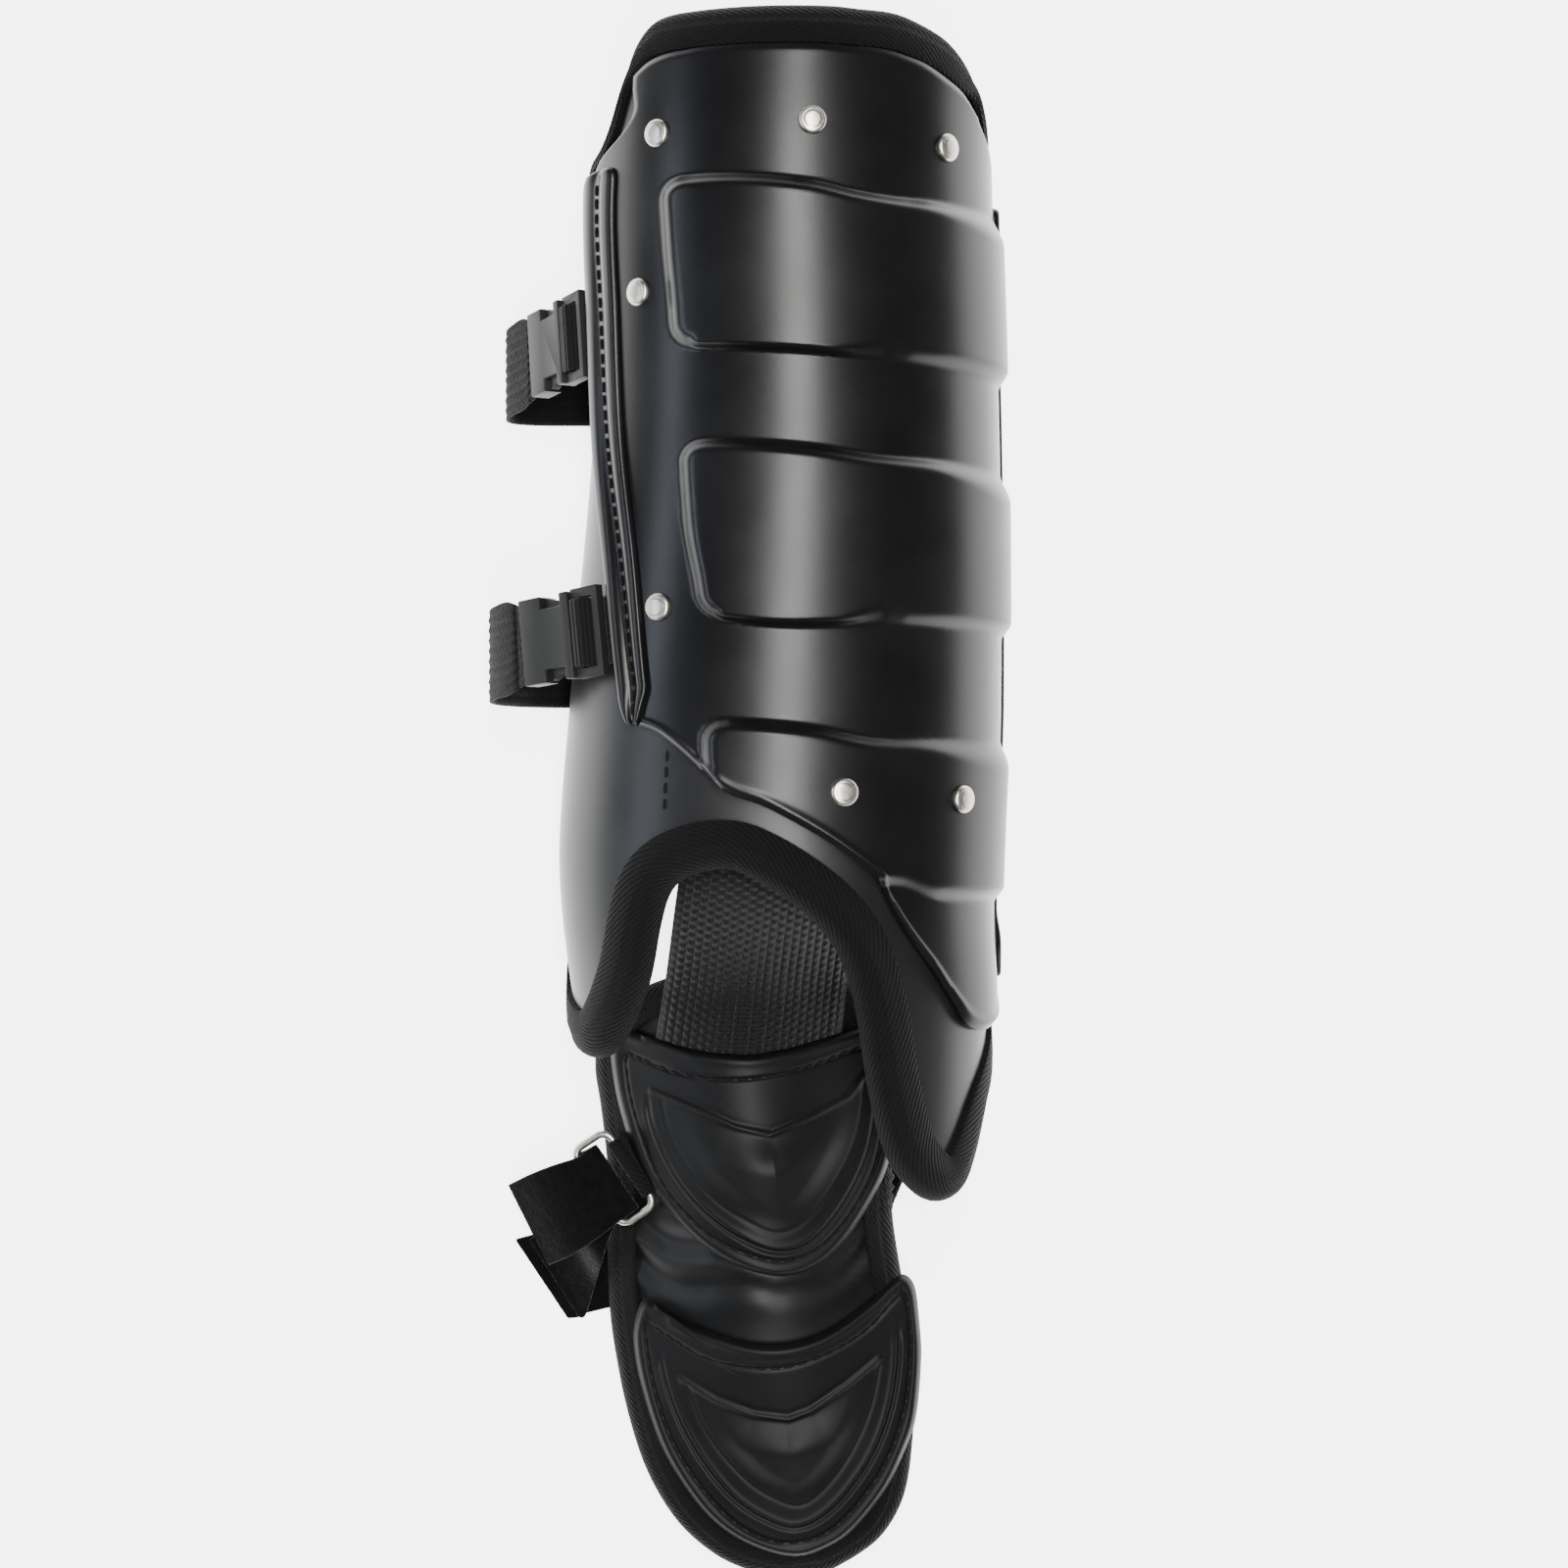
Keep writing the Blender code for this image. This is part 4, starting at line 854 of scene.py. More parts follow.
def makeStrip(name, node, column):
    side = (-1, 1)[column]
    first, last = strip["ends"][column]
    total = (last - first) * shin["length"]

    def spot(share, along, height):
        length = mix(first, last, along)
        edge = curveRead(shellSides, length)[column] * girth(length * shin["length"])
        nearEnd = min(along, 1 - along) * total
        rounding = math.sqrt(max(1 - (1 - min(nearEnd / strip["rounding"], 1)) ** 2, 0))
        width = mix(*strip["widths"][column], along) * mix(0.55, 1, ease(along * total / strip["taper"]))
        outwards = strip["overhang"] - width / 2 + (share - 0.5) * width * mix(0.35, 1, rounding)
        return onLeg(edge + side * outwards, length * shin["length"], height)

    def outer(across, along):
        nearEnd = min(along, 1 - along) * total
        rim = ease(nearEnd / strip["edge"]) * 0.9 + 0.1
        if side > 0:
            rim *= mix(1, strip["flatter"], ease((nearEnd - 0.012) / 0.010))
        readProfile = lineRead if 0.35 < across < 0.6 else curveRead
        profile = readProfile(stripProfile, across)[0]
        return spot(across, along, strip["foot"] + strip["height"] * profile * rim) + origin

    def inner(across, along):
        return spot(across, along, strip["foot"]) + origin

    piece = gridPiece(name, strip["columns"], strip["rows"], (outer, inner), sharp=60)
    keep(piece, "shell", (node,))

    def thread(along):
        height = strip["foot"] + strip["height"] * strip["stitchHeight"]
        point = spot(strip["stitchShare"], along, height)
        above = spot(strip["stitchShare"], along, height + strip["height"])
        return point + origin, (above - point).normalized()

    spots = stitchSpots(thread, 0.015, 0.985, strip["pitch"])
    keep(stitchPiece(name + "_stitches", spots, stitches["size"]), "thread")


# Rivets
rivets = {
    "places": (
        (-0.327, 0.903),
        (0.053, 0.907),
        (0.407, 0.895),
        (-0.381, 0.774),
        (-0.293, 0.513),
        (0.151, 0.362),
        (0.445, 0.356),
    ),
    "profile": (
        (0.0000, 0.00140),
        (0.0019, 0.00138),
        (0.0024, 0.00128),
        (0.0027, 0.00112),
        (0.0030, 0.00112),
        (0.0034, 0.00100),
        (0.0039, 0.00060),
        (0.0041, 0.00010),
        (0.0041, -0.0004),
    ),
    "segments": 40,
    "lift": 0.0004,
}


def makeRivet(index, around, length):
    mesh = bmesh.new()
    points = [mesh.verts.new((radius, 0, height)) for radius, height in rivets["profile"]]
    edges = [mesh.edges.new(pair) for pair in zip(points, points[1:])]
    bmesh.ops.spin(
        mesh,
        geom=points + edges,
        axis=(0, 0, 1),
        cent=(0, 0, 0),
        steps=rivets["segments"],
        angle=2 * math.pi,
        use_merge=True,
    )
    bmesh.ops.remove_doubles(mesh, verts=list(mesh.verts), dist=1e-6)
    rim = [edge for edge in mesh.edges if edge.is_boundary]
    bmesh.ops.holes_fill(mesh, edges=rim, sides=rivets["segments"] + 2)
    normal = legNormal(around, length)
    height = shin["shellTop"] + panelHeight(around, length) + rivets["lift"]
    turn = normal.to_track_quat("Z", "Y").to_matrix().to_4x4()
    place = Matrix.Translation(legShare(around, length, height) + origin) @ turn
    bmesh.ops.transform(mesh, matrix=place, verts=list(mesh.verts))
    bmesh.ops.recalc_face_normals(mesh, faces=list(mesh.faces))
    keep(toPiece(f"rivet_head_{index}", mesh, 55), "nickel", (f"rivet_{index}",))


# Calf straps
strap = {
    "thickness": 0.0014,
    "webbing": 0.020,
    "elastic": 0.028,
    "tuck": 0.0022,
    "skew": 7.0,
    "offset": 0.0036,
    "frameLength": 0.0100,
    "frameThickness": 0.0032,
    "bar": 0.0022,
    "bodyLength": 0.0190,
    "bodyWidth": 0.0255,
    "wall": 0.0012,
    "elasticTuck": 0.0070,
    "bindingTop": 0.0022,
    "ribs": 9,
    "rib": 0.00045,
    "crimp": 0.00018,
    "rounding": 0.00045,
}
calfStraps = (("upper", 0.752, 56.0, 1.05), ("lower", 0.498, 37.0, 0.52))  # place, slope in degrees, bulge
latch = {"width": 0.0036, "edge": 0.0004, "half": 0.0013, "reach": 0.50, "bow": 0.0020, "rounding": 0.0003}


def strapFrame(length, leaning):
    edge = lineRead(shellSides, length)[0] * girth(length * shin["length"])
    start = onLeg(edge - strip["overhang"], length * shin["length"], gap + strap["thickness"] / 2)
    tilt, skew = math.radians(leaning), math.radians(strap["skew"])
    down = Vector((-math.cos(tilt), -math.sin(skew), -math.sin(tilt))).normalized()
    out = down.cross(Vector((0, -1, 0))).normalized()
    turn = Matrix((down, out.cross(down), out)).transposed()
    return Matrix.Translation(start) @ turn.to_4x4()


def levelStations(path, width):
    stations = []
    for index, point in enumerate(path):
        ahead = path[min(index + 1, len(path) - 1)] - path[max(index - 1, 0)]
        ahead.y = 0
        across = Vector((0, width / 2, 0))
        stations.append((point - across, point + across, ahead.normalized().cross(Vector((0, 1, 0)))))
    return stations


def buckleStations(place, path):
    stations = []
    for index, (along, height, width) in enumerate(path):
        before, after = path[max(index - 1, 0)], path[min(index + 1, len(path) - 1)]
        normal = Vector((before[1] - after[1], 0, after[0] - before[0])).normalized()
        ends = [place @ Vector((along, side * width / 2, height)) for side in (1, -1)]
        stations.append((ends[0], ends[1], place.to_3x3() @ normal))
    return stations


def curlPath(first, way, last, pull, steps):
    lead = first + way * pull
    trail = last - Vector((pull, 0, 0))
    points = []
    for step in range(1, steps + 1):
        share = step / steps
        rest = 1 - share
        near = first * rest**3 + lead * 3 * rest**2 * share
        points.append(near + trail * 3 * rest * share**2 + last * share**3)
    return points


def makeCalfStrap(name, length, leaning, bulge):
    place = strapFrame(length, leaning)
    thickness = strap["thickness"]
    ends = []
    for side in (-1, 1):
        at = length + side * strap["webbing"] / 2 / shin["length"]
        edge = lineRead(shellSides, at)[0] * girth(at * shin["length"])
        tucked = edge - strip["overhang"] + strap["tuck"]
        ends.append(onLeg(tucked, at * shin["length"], shin["shellFoot"] + gap + thickness / 2))
    over = strap["frameThickness"] + 2 * gap + thickness
    far = strap["offset"] + strap["frameLength"]
    wide = strap["webbing"]
    path = (
        (strap["offset"], 0, wide),
        (strap["offset"] + strap["bar"] + gap, 0, wide),
        (far - strap["bar"] * 2, over, wide),
        (far - gap, over, wide),
    )
    stations = [(ends[0], ends[1], legNormal(lineRead(shellSides, length)[0], length))]
    stations += buckleStations(place, path)
    webbing = ribbonPiece(name + "_webbing", stations, thickness, 8)
    keep(webbing, "webbing", (name + "_strap_webbing",))

    rise = strap["frameThickness"] / 2 + gap + thickness / 2
    buckle = place @ Matrix.Translation((strap["offset"], 0, rise))
    end = strap["frameLength"] + gap + strap["bodyLength"]
    floor = thickness / 2
    inside = buckle @ Vector((end - strap["elasticTuck"], 0, 0))
    mouth = buckle @ Vector((end + gap, 0, 0))
    way = (mouth - inside).normalized()
    pull = bulge * mouth.z
    landing = Vector((mouth.x + pull * 0.45, mouth.y + way.y * pull, floor))
    path = curlPath(mouth, way, landing, pull, 9)
    flatLength = landing.y - shin["end"]
    clear = strap["bindingTop"] + gap + floor
    back = onLeg(girth(flatLength), flatLength, clear * 1.5)
    path += [Vector((mix(landing.x, back.x - clear, share), landing.y, floor)) for share in (0.33, 0.66, 1)]
    path.append(Vector((back.x + clear * 0.1, landing.y, floor + clear * 0.12)))
    path.append(Vector((back.x + clear * 0.5, landing.y, floor + clear * 0.75)))
    edge = lineRead(shellSides, flatLength / shin["length"])[1] * girth(flatLength)
    last = edge + strip["overhang"] - strap["tuck"]
    first = girth(flatLength) - clear
    for step in range(6):
        share = step / 5
        height = mix(clear * 1.15, gap + floor, ease(share * 2 - 0.8))
        path.append(onLeg(mix(first, last, share), flatLength, height))
    innerWidth = strap["bodyWidth"] - 2 * strap["wall"] - 2 * gap
    slotEnds = ((end - strap["elasticTuck"], 0, innerWidth), (end + gap, 0, innerWidth))
    stations = buckleStations(buckle, slotEnds) + levelStations(path, strap["elastic"])

    def ribs(share, run):
        crimp = noise.noise(Vector((share * 40, run * 900, 2.0)))
        rib = strap["rib"] * abs(math.sin(share * math.pi * strap["ribs"]))
        return rib - 0.0002 + strap["crimp"] * crimp

    elastic = ribbonPiece(name + "_elastic", stations, thickness, 9, 54, ribs)
    keep(elastic, "elastic", (name + "_strap_elastic",))
    makeBuckle(name, buckle)


def bevelled(name, node, width, segments):
    # the node's own shape, merged, with its edges rounded
    mesh = bmesh.new()
    mesh.from_mesh(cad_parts[node].data)
    bmesh.ops.remove_doubles(mesh, verts=list(mesh.verts), dist=1e-6)
    bmesh.ops.dissolve_limit(
        mesh,
        angle_limit=math.radians(1),
        verts=list(mesh.verts),
        edges=list(mesh.edges),
        use_dissolve_boundaries=False,
    )
    edges = [edge for edge in mesh.edges if edge.calc_face_angle(0) > math.radians(30)]
    bmesh.ops.bevel(
        mesh,
        geom=edges,
        offset=width,
        offset_type="OFFSET",
        affect="EDGES",
        segments=segments,
        profile=0.5,
        material=-1,
        clamp_overlap=True,
    )
    bmesh.ops.recalc_face_normals(mesh, faces=list(mesh.faces))
    return toPiece(name, mesh, 22)


def makeLatchArm(name, buckle, side):
    # the springy arm that shows in one notch of the buckle's body
    start = strap["frameLength"] + gap
    outerEdge = side * (strap["bodyWidth"] / 2 - latch["edge"])
    innerEdge = side * (strap["bodyWidth"] / 2 - latch["width"])
    low = Vector((start + latch["edge"], min(outerEdge, innerEdge), -latch["half"]))
    high = Vector((start + strap["bodyLength"] * latch["reach"], max(outerEdge, innerEdge), latch["half"]))
    mesh = bmesh.new()
    place = Matrix.Translation((low + high) / 2) @ Matrix.Diagonal((*(high - low), 1))
    bmesh.ops.create_cube(mesh, size=1, matrix=place)
    bmesh.ops.subdivide_edges(mesh, edges=list(mesh.edges), cuts=4, use_grid_fill=True)
    for vert in mesh.verts:
        along = (vert.co.x - low.x) / (high.x - low.x)
        vert.co.y -= side * latch["bow"] * math.sin(math.pi * min(along * 1.15, 1))
    bmesh.ops.bevel(
        mesh,
        geom=[edge for edge in mesh.edges if edge.calc_face_angle(0) > 0.6],
        offset=latch["rounding"],
        offset_type="OFFSET",
        affect="EDGES",
        segments=2,
        profile=0.5,
        material=-1,
    )
    bmesh.ops.transform(mesh, matrix=Matrix.Translation(origin) @ buckle, verts=list(mesh.verts))
    bmesh.ops.recalc_face_normals(mesh, faces=list(mesh.faces))
    keep(toPiece(name, mesh, 35), "plastic")


def makeBuckle(name, buckle):
    makeLatchArm(name + "_latch_arm_top", buckle, -1)
    makeLatchArm(name + "_latch_arm_bottom", buckle, 1)
    for part in ("frame", "body"):
        node = f"{name}_buckle_{part}"
        piece = bevelled(node + "_moulding", node, strap["rounding"], 3)
        keep(piece, "plastic", (node,))


# Foot form
foot = {
    "length": 0.188,
    "halfWidth": 0.046,
    "rise": 0.030,
    "lean": 6.5,
    "x": -0.0130,
    "y": -0.0578,
    "pad": 0.006,
    "capLift": 0.0025,
    "cap": 0.0025,
    "middle": -0.09,
    "tilt": 0.095,
    "start": 0.016,
    "bindingWidth": 0.007,
    "bindingPuff": 0.0003,
    "rimDraw": 0.0012,
    "rimReach": 0.010,
    "fill": 0.7,
    "columns": 70,
    "tapeColumns": 40,
    "rows": 150,
}
crease = {"middle": 0.082, "reach": 0.016, "pitch": 0.013, "fold": 0.0011, "drift": 0.0010}
scallops = {"first": 0.036, "last": 0.082, "ramp": 0.008, "pitch": 0.0031, "depth": 0.0011}
footSections = (
    (0.00, 0.780, 0.240),
    (0.15, 0.780, 0.230),
    (0.32, 0.740, 0.220),
    (0.45, 0.660, 0.228),
    (0.60, 0.520, 0.200),
    (0.75, 0.350, 0.140),
    (0.90, 0.150, 0.100),
    (1.00, 0.020, 0.090),
)
footTurn = Matrix.Rotation(math.radians(foot["lean"]), 4, "Z")
footFrame = Matrix.Translation((foot["x"], foot["y"], 0)) @ footTurn


def padHeight(across, along):
    crest, lift = curveRead(footSections, along / foot["length"])
    reach = across / foot["halfWidth"] - foot["middle"]
    arch = mix(1 - reach * reach, 0.5 + 0.5 * math.cos(math.pi * reach), 0.5)
    lift += foot["tilt"] * reach * crest
    return lift * foot["rise"] + foot["pad"] + crest * foot["rise"] * arch


def onFoot(across, along, height):
    return footFrame @ Vector((across, -along, padHeight(across, along) + height))


def footNormal(across, along):
    step = 0.0005
    first = onFoot(across + step, along, 0) - onFoot(across - step, along, 0)
    second = onFoot(across, along - step, 0) - onFoot(across, along + step, 0)
    return first.cross(second).normalized()


def floorPoint(across, along, height):
    return footFrame @ Vector((across * foot["halfWidth"], -along * foot["length"], height))


padEdges = (
    (0.000, -0.40, 0.32),
    (0.021, -0.68, 0.54),
    (0.055, -0.88, 0.72),
    (0.104, -0.99, 0.82),
    (0.142, -1.02, 0.86),
    (0.194, -1.01, 0.87),
    (0.298, -1.01, 0.84),
    (0.388, -1.05, 0.79),
    (0.440, -1.08, 0.77),
    (0.543, -1.11, 0.79),
    (0.622, -1.10, 0.82),
    (0.705, -1.07, 0.80),
    (0.803, -0.99, 0.74),
    (0.890, -0.83, 0.65),
    (0.948, -0.62, 0.49),
    (0.979, -0.43, 0.30),
    (1.000, -0.22, 0.10),
)


def padFlat(across, step):
    along, left, right = stepRead(padEdges, step)
    return Vector((mix(left, right, across) * foot["halfWidth"], along * foot["length"]))


def padCrease(across, along):
    # soft folds of the vinyl between the two caps
    reach = bump(along - crease["middle"], crease["reach"])
    drift = noise.noise(Vector((across * 60, along * 38, 1.7)))
    fold = math.sin((along + 0.35 * abs(across) + drift * 0.006) * 2 * math.pi / crease["pitch"])
    return reach * (crease["fold"] * fold + crease["drift"] * drift)


def makeFootPad():
    def outer(across, step):
        spot = padFlat(across, step)
        edge = min(across, 1 - across) * 2 * foot["halfWidth"]
        drawn = foot["rimDraw"] * (1 - ease(edge / foot["rimReach"])) ** 2
        return onFoot(spot.x, spot.y, padCrease(spot.x, spot.y) - drawn) + origin

    def inner(across, step):
        spot = padFlat(across, step)
        return onFoot(spot.x, spot.y, -foot["pad"]) + origin

    piece = gridPiece("foot_pad_cover", foot["columns"], foot["rows"], (outer, inner))
    keep(piece, "padVinyl", ("foot_pad",))


def makeFootTape():
    ring = smoothRing([padFlat(*spot) for spot in ringPlaces(foot["tapeColumns"], foot["rows"])], 6)
    widths = [foot["bindingWidth"]] * len(ring)

    def onForm(flat, height):
        return onFoot(flat.x, flat.y, height)

    def scallop(flat, run):
        # the tape's gathers on the right, between the two caps
        if flat.x <= 0:
            return 0
        begun = ease((flat.y - scallops["first"]) / scallops["ramp"])
        within = begun * ease((scallops["last"] - flat.y) / scallops["ramp"])
        wave = 0.5 + 0.5 * math.cos(run * 2 * math.pi / scallops["pitch"])
        return within * (0.0004 - scallops["depth"] * wave)

    piece = sweptTape("foot_tape", ring, widths, onForm, foot["pad"], foot["bindingPuff"], scallop)
    keep(piece, "tape", ("foot_binding",))


# Moulded caps on the foot, in millimetres across and along the foot
capForms = {
    "instep": {
        "outline": (
            (-32.7, -0.9), (-38.4, -3.1), (-42.0, -0.6), (-43.3, 7.4), (-42.0, 22.8), (-37.7, 40.9),
            (-29.8, 54.2), (-21.7, 64.1), (-11.9, 71.2), (1.4, 76.2), (13.3, 74.7), (23.2, 68.0),
            (32.7, 56.8), (38.0, 48.3), (41.0, 38.3), (41.5, 25.0), (40.5, 12.0), (36.5, 5.5),
            (29.0, 5.7), (21.0, 6.6), (6.8, 8.1), (-4.4, 7.4), (-21.4, 3.5),
        ),
        "groove": (
            (-32.7, 15.0), (-32.5, 26.8), (-28.0, 40.9), (-20.3, 52.9), (-10.7, 61.8), (1.1, 68.2),
            (11.8, 66.8), (23.1, 57.0), (31.8, 44.1), (36.1, 30.7), (38.5, 17.2),
        ),
        "shield": (
            (-28.5, 20.0), (-27.0, 30.0), (-22.5, 40.5), (-15.5, 50.5), (-7.0, 57.5), (2.0, 62.5),
            (11.0, 60.0), (20.0, 51.5), (27.5, 41.0), (31.5, 31.0), (33.5, 21.0),
        ),
        "notch": (
            (-31.1, 15.6), (-16.6, 22.6), (-6.8, 28.3), (3.5, 31.9), (16.1, 28.5), (27.9, 24.6),
            (36.0, 17.0),
        ),
        "ridge": ((3.5, 31.9), (3.9, 60.0)),
        "around": (
            (-36.8, 5.0), (-38.6, 12.0), (-37.2, 25.0), (-32.8, 41.5), (-25.5, 53.5), (-15.5, 63.5),
            (0.8, 71.0), (13.0, 69.5), (24.0, 61.5), (33.0, 49.5), (37.6, 36.0), (38.4, 22.0),
            (36.6, 11.5), (31.0, 11.3), (20.0, 13.5), (6.0, 15.0), (-8.0, 14.5), (-24.0, 11.0),
        ),
        "centre": (0.5, 34.0),
    },
    "toe": {
        "outline": (
            (-38.5, 82.2), (-42.3, 81.9), (-45.2, 87.8), (-46.5, 95.0), (-45.7, 108.0), (-42.0, 126.4),
            (-35.5, 141.5), (-27.4, 153.4), (-16.7, 161.9), (-4.2, 166.7), (6.7, 164.6), (15.5, 159.5),
            (26.3, 148.5), (33.3, 137.4), (38.1, 127.0), (41.6, 109.5), (42.3, 97.7), (42.0, 86.8),
            (38.9, 82.6), (34.6, 84.2), (26.8, 89.4), (14.3, 95.4), (2.6, 97.6), (-9.0, 96.5),
            (-20.0, 92.7), (-31.4, 87.6),
        ),
        "groove": (
            (-38.5, 96.0), (-37.6, 108.0), (-34.0, 122.0), (-28.0, 135.0), (-20.0, 146.5), (-10.5, 154.0),
            (-2.5, 157.0), (6.5, 154.0), (15.5, 146.5), (24.0, 136.0), (30.5, 123.0), (34.5, 108.0),
            (35.6, 96.0),
        ),
        "shield": (
            (-31.0, 108.0), (-28.0, 120.0), (-22.5, 131.0), (-14.5, 141.5), (-6.5, 147.5), (-1.0, 149.5),
            (5.0, 147.0), (12.5, 140.0), (19.5, 130.5), (25.0, 119.5), (28.5, 108.0),
        ),
        "notch": (
            (-32.3, 105.5), (-22.4, 112.7), (-11.5, 118.0), (-1.2, 120.5), (5.9, 118.8), (18.1, 112.5),
            (28.3, 106.3),
        ),
        "ridge": ((-1.2, 120.3), (-1.0, 148.0)),
        "around": (
            (-40.8, 88.5), (-42.2, 96.0), (-41.2, 110.0), (-37.6, 126.0), (-31.0, 140.0), (-22.5, 152.0),
            (-12.5, 159.5), (-3.0, 161.6), (7.5, 159.0), (18.0, 150.5), (28.0, 138.0), (35.0, 122.5),
            (38.5, 106.0), (39.2, 93.0), (37.0, 88.6), (26.0, 97.0), (14.0, 102.0), (0.0, 104.5),
            (-14.0, 103.0), (-27.0, 98.5),
        ),
        "centre": (-1.5, 122.0),
    },
}
capForm = {
    "rings": 96,
    "turns": 300,
    "ringShare": 1.35,
    "edge": 1.9,
    "edgeFall": 0.0024,
    "keel": 0.0048,
    "keelHalf": 30.0,
    "swell": 0.0018,
    "swellPlace": (-48.53, 41.904),
    "stitchPitch": 0.0044,
}
capBeads = {  # height in metres, then how far off its line it peaks and its width in millimetres
    "lip": (0.0004, 2.4, 1.2),
    "stitchLine": (-0.0006, 0.0, 0.7),
    "grooveSide": (0.0003, 1.4, 0.9),
    "groove": (-0.0006, 0.0, 0.75),
    "notchFoot": (-0.0002, -0.8, 1.0),
    "notchRidge": (0.0007, 0.6, 0.9),
    "shieldLine": (-0.0003, 0.0, 0.7),
}


def distanceTo(points, x, y):
    nearest = 1e9
    for (ax, ay), (bx, by) in zip(points, points[1:]):
        dx, dy = bx - ax, by - ay
        share = min(max(((x - ax) * dx + (y - ay) * dy) / (dx * dx + dy * dy), 0), 1)
        nearest = min(nearest, math.hypot(x - ax - dx * share, y - ay - dy * share))
    return nearest


def smoothLine(points, perPoint, closed=False):
    if closed:
        points = list(points[-2:]) + list(points) + list(points[:3])
    count = (len(points) - 1) * perPoint
    line = [tuple(stepRead(points, step / count)) for step in range(count + 1)]
    if closed:
        return line[2 * perPoint : -3 * perPoint]
    return line


def bead(name, distance):
    height, peak, width = capBeads[name]
    return height * bump(distance - peak, width)


def capRelief(form, x, y, lines):
    # height over the cap's plain face, in metres
    inside = distanceTo(lines["outline"], x, y)
    fall = 1 - math.sin(min(inside / capForm["edge"], 1) * math.pi / 2)
    height = bead("lip", inside) - capForm["edgeFall"] * fall**1.2
    height += bead("stitchLine", distanceTo(lines["around"], x, y))
    groove = distanceTo(lines["groove"], x, y)
    begun = ease((y - lines["groove"][0][1]) / 9)
    height += (bead("grooveSide", groove) + bead("groove", groove)) * begun
    notch = distanceTo(lines["notch"], x, y)
    below = notch if y > lineRead(form["notch"], x)[0] else -notch
    height += bead("notchFoot", below) + bead("notchRidge", below)
    shieldDistance = distanceTo(lines["shield"], x, y)
    if insideShield(form, x, y, lines):
        (startX, startY), (endX, endY) = form["ridge"]
        ridgeX = mix(startX, endX, ease((y - startY) / 28))
        keel = capForm["keel"] * max(1 - abs(x - ridgeX) / capForm["keelHalf"], 0)
        height += keel * ease(below / 13) * ease((endY + 3 - y) / 24) * ease(shieldDistance / 8)
    return height + bead("shieldLine", shieldDistance) * ease(below / 2 + 1)


def insideShield(form, x, y, lines):
    if y < lineRead(form["notch"], x)[0]:
        return False
    shape = lines["shield"]
    crossings = 0
    for (ax, ay), (bx, by) in zip(shape, shape[1:] + shape[:1]):
        if (ay > y) != (by > y) and x < (bx - ax) * (y - ay) / (by - ay) + ax:
            crossings += 1
    return crossings % 2 == 1


def makeCap(name, node):
    form = capForms[name]
    lines = {key: smoothLine(form[key], 4) for key in ("groove", "shield")}
    lines.update({key: smoothLine(form[key], 4, True) for key in ("outline", "around")})
    lines["around"] += lines["around"][:1]
    lines["notch"] = form["notch"]
    outline = smoothLine(form["outline"], 24, True)
    count = len(outline)
    swollen = capForm["swell"] if name == "instep" else 0

    def spotOf(turn, ring):
        turns = capForm["turns"]
        x, y = outline[round(turn * turns) * count // turns % count]
        share = 1 - (1 - ring) ** capForm["ringShare"]
        return mix(form["centre"][0], x, share), mix(form["centre"][1], y, share)

    def lifted(x, y):
        # the instep cap stands clear of the ring's tab
        distance = math.dist((x, y), capForm["swellPlace"])
        return foot["capLift"] + swollen * ease(2 - distance / 20)

    def onCap(x, y, height):
        return onFoot(x / 1000, y / 1000 + foot["start"], height) + origin

    def outer(turn, ring):
        x, y = spotOf(turn, ring)
        height = lifted(x, y) + foot["cap"] + capRelief(form, x, y, lines)
        return onCap(x, y, max(height, lifted(x, y) + 0.0002))

    def inner(turn, ring):
        x, y = spotOf(turn, ring)
        return onCap(x, y, lifted(x, y))

    grid = (capForm["turns"], capForm["rings"])
    piece = gridPiece(name + "_cap_moulding", *grid, (outer, inner), sharp=60, closed=True)
    keep(piece, "cap", (node,))

    def thread(share):
        x, y = stepRead(lines["around"], share)
        height = lifted(x, y) + foot["cap"] + capRelief(form, x, y, lines) + 0.0001
        return onCap(x, y, height), footNormal(x / 1000, y / 1000 + foot["start"])

    spots = stitchSpots(thread, 0, 1, capForm["stitchPitch"])
    keep(stitchPiece(name + "_stitches", spots, stitches["capSize"]), "thread")


# Webbing over the ankle, woven from flat yarns
web = {
    "width": 0.0565,
    "topWidth": 0.05311,
    "tuck": 0.008,
    "thickness": 0.0016,
    "clear": 0.0029,
    "topX": -0.0018,
    "footX": 0.0002,
    "length": 0.085,
    "rows": 27,
    "yarns": 23,
    "puff": 0.0014,
    "sunk": 0.0007,
}
capTopLine = (  # across the foot, and where the cap's top edge lies along it
    (-0.930, 0.106),
    (-0.800, 0.076),
    (-0.650, 0.086),
    (-0.455, 0.104),
    (-0.240, 0.119),
    (0.000, 0.127),
    (0.240, 0.127),
    (0.480, 0.120),
    (0.700, 0.113),
    (0.890, 0.116),
)
archTop = lineRead([(row[0], row[2]) for row in linerOutline], liner["notchTop"])[0]


